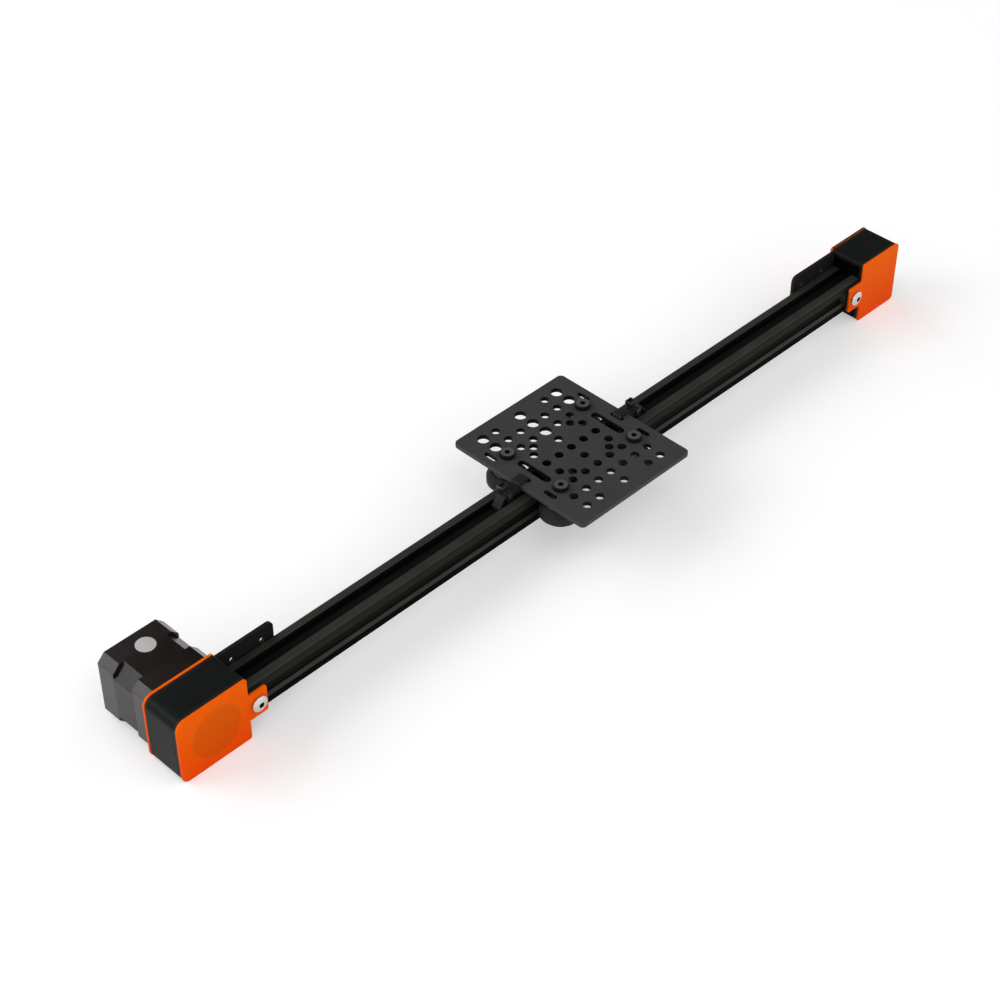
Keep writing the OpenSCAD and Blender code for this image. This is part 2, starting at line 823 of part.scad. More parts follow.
// The loop of the belt: two straight runs and half a turn around each pulley.
module belt() {
    color(rubber_black) along_y(-belt_w / 2, belt_w / 2) {
        for (side = [-1, 1]) translate([motor_x, side > 0 ? belt_in : -belt_out])
            square([idler_x - motor_x, belt_back_t]);
        belt_turn(motor_x, -1);
        belt_turn(idler_x, 1);
    }
}

module belt_turn(x, side) {
    translate([x, 0]) intersection() {
        difference() {
            circle(r = belt_out, $fn = 96);
            circle(r = belt_in, $fn = 96);
        }
        translate([side < 0 ? -2 * belt_out : 0, -2 * belt_out]) square([2 * belt_out, 4 * belt_out]);
    }
}

// ---------- carriage ----------

// Grid places used on both halves of the carriage plate, for y above 0.
half_grid = [[2, 4], [1, 3], [2, 3], [1, 2], [2, 2], [1.5, 1.5], [2, 1]];
outer_grid = [[3, 4], [3, 3]];
centre_rows = [2, 3, 4];

module carriage_holes() {
    for (side = [-1, 1]) {
        for (p = half_grid, face = [-1, 1])
            translate([side * p.x * grid, face * p.y * grid]) circle(d = hole_d, $fn = 32);
        for (p = outer_grid, face = [-1, 1])
            translate([side * p.x * grid, face * p.y * grid])
                circle(d = face > 0 ? big_hole_d : hole_d, $fn = 32);
        for (x = [1, 2]) translate([side * x * grid, 0]) circle(d = hole_d, $fn = 32);
        translate([side * wheel_x, -wheel_y]) circle(d = hole_d, $fn = 32);
        translate([side * wheel_x, wheel_y]) circle(d = big_hole_d, $fn = 32);
        translate([side * wheel_x, 0]) slot_shape(slot_len, hole_d);
        for (y = belt_slot_ys) translate([side * belt_slot_x, y]) slot_shape(belt_slot_l, belt_slot_w);
    }
    for (row = centre_rows, face = [-1, 1])
        translate([0, face * row * grid]) circle(d = face > 0 ? big_hole_d : hole_d, $fn = 32);
    for (row = [-1, 0, 1]) translate([0, row * grid]) circle(d = hole_d, $fn = 32);
}

module carriage_plate() {
    color(coated_black) translate([0, 0, carriage_z]) linear_extrude(carriage_t) difference() {
        rounded_rect([-carriage_l / 2, -carriage_w / 2], [carriage_l / 2, carriage_w / 2],
                     [for (i = [0:3]) carriage_r]);
        carriage_holes();
    }
}

module wheel_screws() {
    color(coated_black) for (p = wheel_places)
        translate([p.x, p.y, carriage_top]) low_head_screw(wheel_screw_l);
}

module plain_spacers() {
    color(steel) for (i = [0, 1]) translate([wheel_places[i].x, wheel_places[i].y, spacer_base])
        ring(spacer_flats, screw_d + 2 * screw_gap, spacer_h);
}

// Hexagon spacers whose round collar fills the plate's large hole; the bore is off centre.
module eccentric_spacers() {
    color(steel) for (side = [-1, 1]) translate([side * wheel_x, wheel_y, spacer_base])
        difference() {
            union() {
                linear_extrude(spacer_h) hexagon(spacer_flats);
                cylinder(d = big_hole_d - 2 * collar_gap, h = spacer_h + collar_h);
            }
            translate([side * eccentric_offset, 0, -cut])
                cylinder(d = screw_d + 2 * screw_gap, h = spacer_h + collar_h + 2 * cut);
        }
}

module wheel_shims() {
    shim_d = screw_d + 4;
    color(zinc) for (p = wheel_places, z = [-shim_t / 2, bearing_top])
        translate([p.x, p.y, z]) ring(shim_d, screw_d + 2 * screw_gap, shim_t);
}

module wheel_bearings() {
    color(steel) for (p = wheel_places, z = [shim_t / 2, -bearing_top])
        translate([p.x, p.y, z]) bearing(bearing_d, screw_d + 2 * screw_gap, bearing_w);
}

module lock_nuts() {
    color(zinc) for (p = wheel_places) translate([p.x, p.y, -bearing_top - nut_h])
        difference() {
            union() {
                translate([0, 0, 0.8]) linear_extrude(nut_h - 0.8) hexagon(nut_flats);
                cylinder(d = nut_flats - 1, h = 1.5);
            }
            translate([0, 0, -cut]) cylinder(d = screw_d + 2 * screw_gap, h = nut_h + 2 * cut);
        }
}

// A V wheel around Z: 45 degree flanks, a flat tip and a rib between the two bearings.
module v_wheel() {
    h = wheel_w / 2;
    t = wheel_tip_w / 2;
    r = wheel_d / 2;
    flank = h - t;
    seat = bearing_d / 2 + run_fit;
    rib = bearing_d / 2 - 1;
    rib_h = shim_t / 2 - run_fit;
    side_r = seat + 0.9;
    rotate_extrude($fn = 96) polygon([
        [seat, -h], [side_r, -h], [side_r, -h + 0.4], [r - flank, -h + 0.4], [r - flank, -h + 0.4],
        [r - 0.4, -t], [r, -t + 0.4], [r, t - 0.4], [r - 0.4, t],
        [r - flank, h - 0.4], [side_r, h - 0.4], [side_r, h], [seat, h],
        [seat, rib_h], [rib, rib_h], [rib, -rib_h], [seat, -rib_h]
    ]);
}

module wheel(i) {
    color(resin_black) translate([wheel_places[i].x, wheel_places[i].y, 0]) v_wheel();
}

module wheel_front_left() { wheel(0); }
module wheel_front_right() { wheel(1); }
module wheel_back_left() { wheel(2); }
module wheel_back_right() { wheel(3); }

// ---------- belt ends on the carriage ----------

// Unit normal of the line from a to b, turned to its left.
function left_of(a, b) = let (d = b - a) [-d.y, d.x] / norm(d);

// Offset of point i of a path by a distance, mitred between its two lines.
function mitre(path, i, by) =
    let (n = len(path) - 1,
         a = left_of(path[max(i - 1, 0)], path[max(i, 1)]),
         b = left_of(path[min(i, n - 1)], path[min(i + 1, n)]))
    path[i] + by * (a + b) / (1 + a * b);

// Outline of a strip of a given thickness along a path.
function strip(path, t) = concat(
    [for (i = [0:len(path) - 1]) mitre(path, i, t / 2)],
    [for (i = [len(path) - 1:-1:0]) mitre(path, i, -t / 2)]);

// Points of an arc around a centre, from one angle to another.
function arc(centre, r, from, to, steps = 6) =
    [for (i = [0:steps]) let (a = from + (to - from) * i / steps) centre + r * [cos(a), sin(a)]];

half_t = belt_t / 2;
run_z = belt_out + 0.3 + half_t;                // rests just above the upper run
under_z = carriage_z - half_t - 0.1;            // under the plate's edge
over_z = carriage_top + half_t + 0.1;           // over the plate's edge
joined_z = under_z + belt_t + face_gap;         // the strand from the rail, on top of the free end
edge_x = carriage_l / 2 + half_t + 0.15;
tie_out = 8.5;                                  // a tie's distance from the plate's end
tail = 2.5;                                     // belt left past the tie
drop = 3.2;                                     // length of the fall from the tie to the run
rest_l = 1.5;                                   // length that rests on the upper run
tie_x = carriage_l / 2 + tie_out;
end_x = tie_x + tail;
fall_x = end_x + 1.5;

// The belt's end: up out of the rail to the tie, over the plate's edge, down
// through the belt slot and back under the plate to its free end at the tie.
belt_end_path = concat(
    [[fall_x + drop + rest_l, run_z], [fall_x + drop, run_z], [fall_x, joined_z],
     [edge_x + 1.6, joined_z], [edge_x, joined_z + 1.6]],
    arc([edge_x - 1, over_z - 1], 1, 0, 90),
    arc([belt_slot_x + 1, over_z - 1], 1, 90, 180),
    arc([belt_slot_x + 1, under_z + 1], 1, 180, 270),
    [[end_x, under_z]]);

module belt_ends() {
    color(rubber_black) for (side = [0, 1]) mirror([side, 0, 0])
        along_y(-belt_w / 2, belt_w / 2) polygon(strip(belt_end_path, belt_t));
}

// Cable ties around the doubled belt, each with its square head on top.
module belt_ties() {
    low = under_z - half_t - face_gap;
    high = joined_z + half_t + face_gap;
    half_w = belt_w / 2 + face_gap;
    color(resin_black) for (side = [0, 1]) mirror([side, 0, 0]) {
        along_x(tie_x - tie_w / 2, tie_x + tie_w / 2) difference() {
            rounded_rect([-half_w - tie_t, low - tie_t], [half_w + tie_t, high + tie_t],
                         [for (i = [0:3]) tie_t]);
            translate([-half_w, low]) square([2 * half_w, high - low]);
        }
        translate([tie_x - tie_head.x / 2, 0.5, high + tie_t - 0.3]) cube(tie_head);
    }
}

rail();
motor_end_front_plate();
motor_end_rear_plate();
motor_end_front_frame();
motor_end_rear_frame();
motor_end_cover();
motor_end_posts();
idler_end_front_plate();
idler_end_rear_plate();
idler_end_front_frame();
idler_end_rear_frame();
idler_end_cover();
idler_end_posts();
post_screws();
tab_screws();
bracket_screws();
slot_nuts();
motor_front_cap();
motor_stator();
motor_rear_cap();
motor_mount_screws();
motor_tie_screws();
motor_socket();
motor_bearings();
belt();
idler_axle();
idler_spacers();
idler_bearings();
motor_shaft();
motor_rotor();
drive_pulley();
pulley_set_screws();
idler_pulley();
carriage_plate();
wheel_screws();
plain_spacers();
eccentric_spacers();
wheel_shims();
wheel_bearings();
lock_nuts();
belt_ends();
belt_ties();
wheel_front_left();
wheel_front_right();
wheel_back_left();
wheel_back_right();
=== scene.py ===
"""Dresses the belt driven linear axis: finishes, fine parts, floor, lamps and camera."""

import logging
import math
from dataclasses import asdict, dataclass, replace
from enum import Enum
from typing import Callable, ClassVar, Sequence

import bmesh
import bpy
from mathutils import Matrix, Vector


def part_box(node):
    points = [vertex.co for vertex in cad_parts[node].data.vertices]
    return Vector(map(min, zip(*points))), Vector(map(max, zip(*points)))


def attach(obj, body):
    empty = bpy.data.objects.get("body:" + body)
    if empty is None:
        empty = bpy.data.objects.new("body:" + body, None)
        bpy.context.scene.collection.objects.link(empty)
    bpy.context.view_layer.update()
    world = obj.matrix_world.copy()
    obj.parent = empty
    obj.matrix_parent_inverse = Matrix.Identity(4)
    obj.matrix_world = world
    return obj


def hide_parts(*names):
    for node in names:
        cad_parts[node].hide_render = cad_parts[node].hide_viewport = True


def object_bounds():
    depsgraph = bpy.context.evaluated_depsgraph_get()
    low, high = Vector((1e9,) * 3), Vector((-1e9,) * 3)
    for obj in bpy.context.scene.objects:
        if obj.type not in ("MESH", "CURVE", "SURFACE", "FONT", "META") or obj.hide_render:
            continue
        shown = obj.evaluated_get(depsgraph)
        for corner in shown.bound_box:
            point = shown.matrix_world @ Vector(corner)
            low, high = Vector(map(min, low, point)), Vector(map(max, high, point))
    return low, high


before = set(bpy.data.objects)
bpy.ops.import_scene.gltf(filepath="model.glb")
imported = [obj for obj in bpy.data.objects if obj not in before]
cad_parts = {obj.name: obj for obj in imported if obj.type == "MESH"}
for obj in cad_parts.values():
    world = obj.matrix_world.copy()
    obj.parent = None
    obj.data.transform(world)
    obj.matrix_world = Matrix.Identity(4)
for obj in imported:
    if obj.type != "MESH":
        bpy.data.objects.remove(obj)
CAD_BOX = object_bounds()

LOG = logging.getLogger("linear_axis")
MM = 0.001
WELD = 2e-6
FLAT_ANGLE = math.radians(0.3)
EDGE_ANGLE = math.radians(38)
SMOOTH_ANGLE = math.radians(32)
FULL_TURN = 2 * math.pi
SQUARE_ON = 0.9  # A face looks along an axis when its normal has more than this of it.
WHITE = (1.0, 1.0, 1.0, 1.0)

Rgb = tuple[float, float, float]
Path = list[tuple[float, float]]
Mesh = bmesh.types.BMesh
Face = bmesh.types.BMFace
Socket = bpy.types.NodeSocket
Tree = bpy.types.NodeTree


# ---------- shader wiring ----------


@dataclass
class Bench:
    """A shader tree while it is being wired."""

    tree: Tree

    def add(self, kind: str, inputs: dict | None = None, **settings: object) -> bpy.types.Node:
        """Adds a node.

        Args:
            kind: Blender's name of the node type.
            inputs: Socket name or number, and the value or the output that goes into it.
            settings: The node's own settings, which are made before the inputs.

        Returns:
            The new node.
        """
        node = self.tree.nodes.new(kind)
        for key, value in settings.items():
            setattr(node, key, value)
        for key, value in (inputs or {}).items():
            if isinstance(value, Socket):
                self.tree.links.new(value, node.inputs[key])
            else:
                node.inputs[key].default_value = value
        return node

    def math(self, operation: str, *values: object, clamp: bool = False) -> Socket:
        """Returns the result of a Math node on one, two or three values."""
        node = self.add("ShaderNodeMath", dict(enumerate(values)), operation=operation, use_clamp=clamp)
        return node.outputs[0]

    def vectors(self, operation: str, *values: object) -> Sequence[Socket]:
        """Returns the outputs of a Vector Math node on one, two or three values."""
        return self.add("ShaderNodeVectorMath", dict(enumerate(values)), operation=operation).outputs

    def axes(self, vector: Socket) -> Sequence[Socket]:
        """Returns the three parts of a vector."""
        return self.add("ShaderNodeSeparateXYZ", {0: vector}).outputs

    def vector(self, *parts: object) -> Socket:
        """Returns a vector made of up to three parts."""
        return self.add("ShaderNodeCombineXYZ", dict(enumerate(parts))).outputs[0]

    def noise(self, vector: Socket, scale: object, **others: float) -> Sequence[Socket]:
        """Returns a noise texture's outputs; others are more of its inputs, by name."""
        return self.add("ShaderNodeTexNoise", {"Vector": vector, "Scale": scale, **others}).outputs

    def spread(self, value: object, low: object, high: object, start: float = 0.0,
               end: float = 1.0, **settings: str) -> Socket:
        """Maps a value between start and end to the range from low to high.

        Args:
            value: The value to map.
            low: Result at start.
            high: Result at end.
            start: Value that gives low.
            end: Value that gives high.
            settings: The map's own settings.

        Returns:
            The mapped value's output.
        """
        sockets = {"Value": value, "From Min": start, "From Max": end, "To Min": low, "To Max": high}
        return self.add("ShaderNodeMapRange", sockets, **settings).outputs[0]

    def mix(self, mask: object, a: object, b: object) -> Socket:
        """Returns colour a where the mask is 0 and colour b where it is 1."""
        return self.add("ShaderNodeMix", {0: mask, 6: a, 7: b}, data_type="RGBA").outputs[2]

    def blend(self, a: Socket, b: Socket, share: float) -> Socket:
        """Returns a share of value a plus the rest of value b."""
        return self.math("MULTIPLY_ADD", a, share, self.math("MULTIPLY", b, 1 - share))

    def shared(self, group: Tree, **inputs: object) -> Socket:
        """Returns the output of a shared group, given its inputs by name."""
        return self.add("ShaderNodeGroup", inputs, node_tree=group).outputs[0]


def cleared(owner: bpy.types.Material | bpy.types.World) -> Bench:
    """Empties the tree of a material or a world for new wiring.

    Args:
        owner: The material or the world.

    Returns:
        The tree's bench.
    """
    owner.use_nodes = True
    owner.node_tree.nodes.clear()
    return Bench(owner.node_tree)


def rgba(colour: Rgb, factor: float = 1.0) -> tuple[float, ...]:
    """Returns an opaque colour, multiplied by a factor up to full white."""
    return (*(min(c * factor, 1.0) for c in colour), 1.0)


def grey(level: float) -> Rgb:
    """Returns a neutral colour."""
    return (level, level, level)


VECTOR = "NodeSocketVector"
FLOAT = "NodeSocketFloat"
Wiring = Callable[..., Socket]


def shared_group(**sockets: str) -> Callable[[Wiring], Callable[[], Tree]]:
    """Turns a wiring function into one that builds its group on first use and returns it.

    Args:
        sockets: Name and type of each of the group's inputs.

    Returns:
        The decorator.
    """

    def decorate(wire: Wiring) -> Callable[[], Tree]:
        """Wraps a wiring function, which gets the bench and the inputs in their order."""

        def group() -> Tree:
            """Returns the group, which has the wiring function's name."""
            made = bpy.data.node_groups.get(wire.__name__)
            if made:
                return made
            tree = bpy.data.node_groups.new(wire.__name__, "ShaderNodeTree")
            for name, kind in sockets.items():
                tree.interface.new_socket(name, in_out="INPUT", socket_type=kind)
            tree.interface.new_socket("Value", in_out="OUTPUT", socket_type=FLOAT)
            bench = Bench(tree)
            given = bench.add("NodeGroupInput").outputs
            bench.add("NodeGroupOutput", {0: wire(bench, *(given[name] for name in sockets))})
            return tree

        return group

    return decorate


@shared_group(Vector=VECTOR, Scale=FLOAT)
def fine_grain(bench: Bench, place: Socket, scale: Socket) -> Socket:
    """Wires the grain of a coat, a casting or a moulding: a coarse and a fine noise."""
    fine = bench.noise(place, scale, Detail=2.0, Roughness=0.6)
    coarse = bench.noise(place, bench.math("MULTIPLY", scale, 0.27), Detail=1.0)
    return bench.spread(bench.math("MULTIPLY_ADD", coarse[0], 0.5, fine[0]), 0.0, 1.0, 0.35, 1.15)


@shared_group(Vector=VECTOR, Scale=FLOAT)
def drawn_lines(bench: Bench, place: Socket, scale: Socket) -> Socket:
    """Wires the fine lines that a die leaves along X: a noise that is stretched along it."""
    parts = bench.axes(place)
    across = [bench.math("MULTIPLY", parts[i], scale) for i in (1, 2)]
    stretched = bench.vector(bench.math("MULTIPLY", parts[0], 9.0), *across)
    return bench.spread(bench.noise(stretched, 1.0, Detail=3.0, Roughness=0.65)[0], 0.0, 1.0, 0.3, 0.7)


@shared_group(Vector=VECTOR, Scale=FLOAT)
def turned_lines(bench: Bench, place: Socket, scale: Socket) -> Socket:
    """Wires the faint rings of turned or cut metal around Y, the axis of the pulleys and the motor."""
    parts = bench.axes(place)
    rings = bench.math("MULTIPLY", parts[1], scale)
    rest = [bench.math("MULTIPLY", parts[i], 60.0) for i in (0, 2)]
    stretched = bench.vector(rest[0], rings, rest[1])
    return bench.spread(bench.noise(stretched, 1.0, Detail=2.0)[0], 0.0, 1.0, 0.3, 0.7)


@shared_group(Vector=VECTOR, Scale=FLOAT)
def soft_marks(bench: Bench, place: Socket, scale: Socket) -> Socket:
    """Wires broad, soft marks of handling and wiping: a noise that a second one bends."""
    bend = bench.noise(place, scale, Detail=1.0)
    bent = bench.vectors("MULTIPLY_ADD", bend[1], (0.01, 0.01, 0.01), place)
    marks = bench.noise(bent[0], scale, Detail=4.0, Roughness=0.55)
    return bench.spread(marks[0], 0.0, 1.0, 0.32, 0.68)


@shared_group(Vector=VECTOR, Radius=FLOAT, Amount=FLOAT)
def edge_rub_and_highlight(bench: Bench, place: Socket, radius: Socket, amount: Socket) -> Socket:
    """Wires edges that are worn a little bare and lit with a painted highlight: where a rounded normal
    leaves the true one.
    """
    soft = bench.add("ShaderNodeBevel", {"Radius": radius}, samples=4)
    true = bench.add("ShaderNodeNewGeometry")
    dot = bench.vectors("DOT_PRODUCT", soft.outputs[0], true.outputs["Normal"])["Value"]
    edge = bench.spread(dot, 0.0, 1.0, 0.985, 0.86)
    broken = bench.noise(place, 420.0, Detail=3.0)
    held = bench.spread(broken[0], 0.25, 1.0, 0.35, 0.62)
    return bench.math("MULTIPLY", bench.math("MULTIPLY", edge, held), amount, clamp=True)


# ---------- finishes ----------


class Relief(Enum):
    """How a surface is structured."""

    GRAIN = "grain"
    DRAWN = "drawn"
    TURNED = "turned"


RELIEF_GROUPS = {Relief.GRAIN: fine_grain, Relief.DRAWN: drawn_lines, Relief.TURNED: turned_lines}


@dataclass(frozen=True)
class Skin:
    """What a finish is wired from: object coordinates, broad marks, grain, and edges that are worn and
    painted with a highlight.
    """

    bench: Bench
    place: Socket
    marks: Socket
    grain: Socket
    rub_and_highlight: Socket


@dataclass(frozen=True)
class Finish:
    """A finish in linear colours and metres; the low colour, a painted shade, takes over down the heights
    of the low span.
    """

    name: str
    slot: str
    colour: Rgb
    roughness: float
    relief: Relief = Relief.GRAIN
    scale: float = 2600.0
    depth: float = 6e-6
    tint: float = 0.16
    stray: float = 0.07
    metallic: float = 0.0
    specular: float = 0.5
    # Edge colour: partly real wear, partly a painted highlight, lighter along every sharp edge.
    rub_and_highlight_colour: Rgb = grey(0.06)
    rub_and_highlight_radius: float = 0.25 * MM
    rub_and_highlight_amount: float = 0.25
    marks_scale: float = 55.0
    low_shade_colour: Rgb | None = None
    low_shade_span: tuple[float, float] = (18 * MM, -18 * MM)
    made: ClassVar[dict[str, bpy.types.Material]] = {}

    def material(self) -> bpy.types.Material:
        """Returns the finish's material, built on first use."""
        if self.name in self.made:
            return self.made[self.name]
        material = self.made[self.name] = bpy.data.materials.new(f"{self.name}_finish")
        bench = cleared(material)
        place = bench.add("ShaderNodeTexCoord").outputs["Object"]
        marks = bench.shared(soft_marks(), Vector=place, Scale=self.marks_scale)
        grain = bench.shared(RELIEF_GROUPS[self.relief](), Vector=place, Scale=self.scale)
        rub_and_highlight = bench.shared(edge_rub_and_highlight(), Vector=place, Radius=self.rub_and_highlight_radius, Amount=self.rub_and_highlight_amount)
        skin = Skin(bench, place, marks, grain, rub_and_highlight)
        bump = bench.add("ShaderNodeBump", {"Height": self.height(skin), "Distance": self.depth,
                                            "Strength": 1.0})
        shader = bench.add("ShaderNodeBsdfPrincipled", {
            "Base Color": self.paint(skin), "Roughness": self.gloss(skin), "Metallic": self.metallic,
            "Specular IOR Level": self.specular, "Normal": bump.outputs[0]})
        bench.add("ShaderNodeOutputMaterial", {"Surface": shader.outputs[0]})
        return material

    def height(self, skin: Skin) -> Socket:
        """Returns the height that the bump reads."""
        return skin.grain

    def paint(self, skin: Skin) -> Socket:
        """Wires the colour: mottled, darker lower down where asked as painted shade, and lighter at the
        edges as wear and a painted highlight.

        Args:
            skin: What it is wired from.

        Returns:
            The colour's output.
        """
        bench = skin.bench
        mottled = bench.blend(skin.grain, skin.marks, 0.45)
        base = bench.mix(mottled, rgba(self.colour, 1 - self.tint), rgba(self.colour, 1 + self.tint))
        # Painted shade: lower down, the colour goes over to the low colour.
        if self.low_shade_colour:
            low_shade = bench.spread(bench.axes(skin.place)[2], 0.0, 1.0, *self.low_shade_span)
            base = bench.mix(low_shade, base, rgba(self.low_shade_colour))
        return bench.mix(skin.rub_and_highlight, base, rgba(self.rub_and_highlight_colour))

    def gloss(self, skin: Skin) -> Socket:
        """Returns the roughness, which strays with the marks and the grain."""
        both = skin.bench.blend(skin.grain, skin.marks, 0.35)
        return skin.bench.spread(both, self.roughness - self.stray, self.roughness + self.stray)


@dataclass(frozen=True)
class DishedFinish(Finish):
    """A coat on a plate with a shallow round dish pressed into it, around an axis along Y, with painted
    shade in the dish.
    """

    centre: tuple[float, float] = (0.0, 0.0)
    radius: float = 15.5 * MM
    edge: float = 3.0 * MM
    # Painted shade in the dish: how far the coat goes toward the shade colour.
    dish_shade_share: float = 0.18
    shade: Rgb = (0.0, 0.06, 0.0)
    dish_depth: float = 0.12 * MM

    def disc(self, skin: Skin) -> Socket:
        """Wires a mask that is 1 in the dish and fades over its edge; it places the dish and its painted
        shade.

        Args:
            skin: What it is wired from.

        Returns:
            The mask's output.
        """
        bench = skin.bench
        parts = bench.axes(skin.place)
        x, z = (bench.math("SUBTRACT", parts[i], c) for i, c in zip((0, 2), self.centre))
        length = bench.vectors("LENGTH", bench.vector(x, z))["Value"]
        return bench.spread(length, 0.0, 1.0, self.radius + self.edge / 2,
                            self.radius - self.edge / 2, interpolation_type="SMOOTHERSTEP")

    def height(self, skin: Skin) -> Socket:
        """Returns the grain's height with the dish taken off it."""
        sunk = skin.bench.math("MULTIPLY", self.disc(skin), -self.dish_depth / self.depth)
        return skin.bench.math("ADD", skin.grain, sunk)

    def paint(self, skin: Skin) -> Socket:
        """Returns the coat's colour, darker in the dish as painted shade."""
        dark = skin.bench.math("MULTIPLY", self.disc(skin), self.dish_shade_share)
        return skin.bench.mix(dark, super().paint(skin), rgba(self.shade))


BLACK_ANODISED = Finish(
    "black_anodised", "black_anodised", (0.0258, 0.0262, 0.0218), 0.42, Relief.DRAWN, 2300.0, 3e-6,
    tint=0.22, specular=0.15, rub_and_highlight_colour=(0.06, 0.06, 0.057), rub_and_highlight_amount=0.35)
# Painted shade: a darker copy of the anodised finish for the rail's faces that don't look up, and a black
# one for its upper slot and low lips.
SHADED_SIDE_ANODISED = replace(
    BLACK_ANODISED, name="shaded_side_anodised", colour=(0.0120, 0.0123, 0.0104), specular=0.03,
    rub_and_highlight_colour=(0.03, 0.03, 0.027))
SLOT_SHADE_ANODISED = replace(
    BLACK_ANODISED, name="slot_shade_anodised", colour=(0.0012, 0.0012, 0.0011), roughness=0.46,
    specular=0.01, rub_and_highlight_colour=grey(0.01), rub_and_highlight_amount=0.25)
PLATE_ANODISED = Finish(
    "plate_anodised", "black_anodised", (0.041, 0.0405, 0.040), 0.50, scale=3200.0, depth=4e-6,
    tint=0.10, specular=0.15, rub_and_highlight_colour=grey(0.08))
# The orange coat is painted darker lower down as shade, and lighter at its edges as a painted highlight.
ORANGE_COAT = Finish(
    "orange_coat", "orange_coat", (0.81, 0.108, 0.0004), 0.42, scale=1500.0, depth=7e-6, tint=0.03,
    specular=0.02, rub_and_highlight_colour=(0.95, 0.22, 0.03), rub_and_highlight_amount=0.5, low_shade_colour=(0.76, 0.066, 0.0002))
# Painted shade: a dark copy of the orange coat.
SHADED_COAT = replace(
    ORANGE_COAT, name="shaded_orange_coat", colour=(0.065, 0.020, 0.008), rub_and_highlight_colour=(0.09, 0.03, 0.01),
    low_shade_colour=None)
BLACK_COAT = Finish(
    "black_coat", "black_coat", grey(0.0105), 0.42, scale=1700.0, depth=8e-6, specular=0.10,
    rub_and_highlight_colour=grey(0.05))
BLACK_SHELL = Finish(
    "black_shell", "black_shell", (0.0080, 0.0094, 0.0086), 0.30, scale=2800.0, depth=4e-6,
    specular=0.045, rub_and_highlight_colour=grey(0.02), rub_and_highlight_radius=0.4 * MM)
# Painted shade: the shell's wall that faces the rail, nearly black below its lip.
SHELL_MOUTH_SHADE = replace(
    BLACK_SHELL, name="shell_mouth_shade", colour=(0.0100, 0.0105, 0.0115), specular=0.02,
    low_shade_colour=grey(0.0014), low_shade_span=(18.8 * MM, 17.4 * MM))
BRIGHT_STEEL = Finish(
    "bright_steel", "bright_steel", (0.62, 0.61, 0.58), 0.24, Relief.TURNED, 5000.0, 2e-6, tint=0.06,
    metallic=1.0, rub_and_highlight_colour=(0.86, 0.85, 0.83))
# Painted shade: a dark copy of bright steel for the bearing races under the plate.
SHADED_RACE_STEEL = replace(
    BRIGHT_STEEL, name="shaded_race_steel", colour=grey(0.09), roughness=0.40, rub_and_highlight_colour=grey(0.4))
ZINC_STEEL = Finish(
    "zinc_steel", "zinc_steel", (0.42, 0.43, 0.45), 0.38, scale=3000.0, depth=3e-6, tint=0.1,
    metallic=1.0, rub_and_highlight_colour=grey(0.6))
BLACK_STEEL = Finish(
    "black_steel", "black_steel", grey(0.070), 0.36, scale=3600.0, depth=3e-6, tint=0.12,
    specular=0.30, rub_and_highlight_colour=grey(0.14), rub_and_highlight_amount=0.4)
# Painted shade: near black for screw recesses, screw head sides and hole walls.
RECESS_SHADE_STEEL = Finish(
    "recess_shade_steel", "black_steel", grey(0.006), 0.45, scale=3600.0, depth=3e-6, specular=0.05,
    rub_and_highlight_colour=grey(0.02))
MOTOR_CAST = Finish(
    "motor_cast", "motor_alloy", (0.0070, 0.0046, 0.0034), 0.22, scale=1500.0, depth=8e-6,
    specular=0.37, rub_and_highlight_colour=(0.04, 0.034, 0.03), rub_and_highlight_radius=0.35 * MM)
MOTOR_SHEETS = Finish(
    "motor_sheets", "motor_stack", (0.0070, 0.0050, 0.0038), 0.24, Relief.TURNED, 4200.0, 5e-6,
    specular=0.28, rub_and_highlight_colour=(0.03, 0.026, 0.023))
PULLEY_ALLOY = Finish(
    "pulley_alloy", "pulley_alloy", (0.62, 0.63, 0.65), 0.30, Relief.TURNED, 4200.0, 3e-6, tint=0.06,
    metallic=1.0, rub_and_highlight_colour=grey(0.8))
# Painted shade: a dark copy of the pulley alloy for the spacers under the plate.
SHADED_ALLOY = replace(
    PULLEY_ALLOY, name="shaded_alloy", colour=(0.24, 0.24, 0.245), roughness=0.42, tint=0.08,
    rub_and_highlight_colour=grey(0.4))
# Painted shade: the belt loop is darker than its ends, so that it stays black in the rail's slot.
SHADED_BELT_RUBBER = Finish(
    "belt_rubber", "belt_rubber", grey(0.004), 0.60, scale=3600.0, depth=1.2e-5, specular=0.08,
    rub_and_highlight_colour=grey(0.01))
BELT_BACK = replace(
    SHADED_BELT_RUBBER, name="belt_back", colour=(0.013, 0.013, 0.0125), roughness=0.50, depth=1.0e-5,
    specular=0.12, rub_and_highlight_colour=grey(0.05))
SEAL_RUBBER = replace(
    SHADED_BELT_RUBBER, name="seal_rubber", colour=grey(0.010), roughness=0.5, depth=6e-6, specular=0.2,
    rub_and_highlight_colour=grey(0.03))
WHEEL_RESIN = Finish(
    "wheel_resin", "wheel_resin", (0.026, 0.026, 0.0262), 0.50, scale=3000.0, depth=3e-6,
    specular=0.06, rub_and_highlight_colour=grey(0.04))
TIE_RESIN = Finish(
    "tie_resin", "tie_resin", grey(0.011), 0.24, scale=2200.0, depth=5e-6, specular=0.40,
    rub_and_highlight_colour=grey(0.06))
SOCKET_RESIN = Finish(
    "socket_resin", "socket_resin", (0.78, 0.75, 0.66), 0.38, scale=2600.0, depth=4e-6, tint=0.04,
    rub_and_highlight_colour=(0.86, 0.84, 0.78))
LABEL_PAPER = Finish(
    "label_paper", "socket_resin", (0.45, 0.44, 0.435), 0.45, scale=5200.0, depth=2e-6, tint=0.03,
    specular=0.2, rub_and_highlight_colour=grey(0.4))
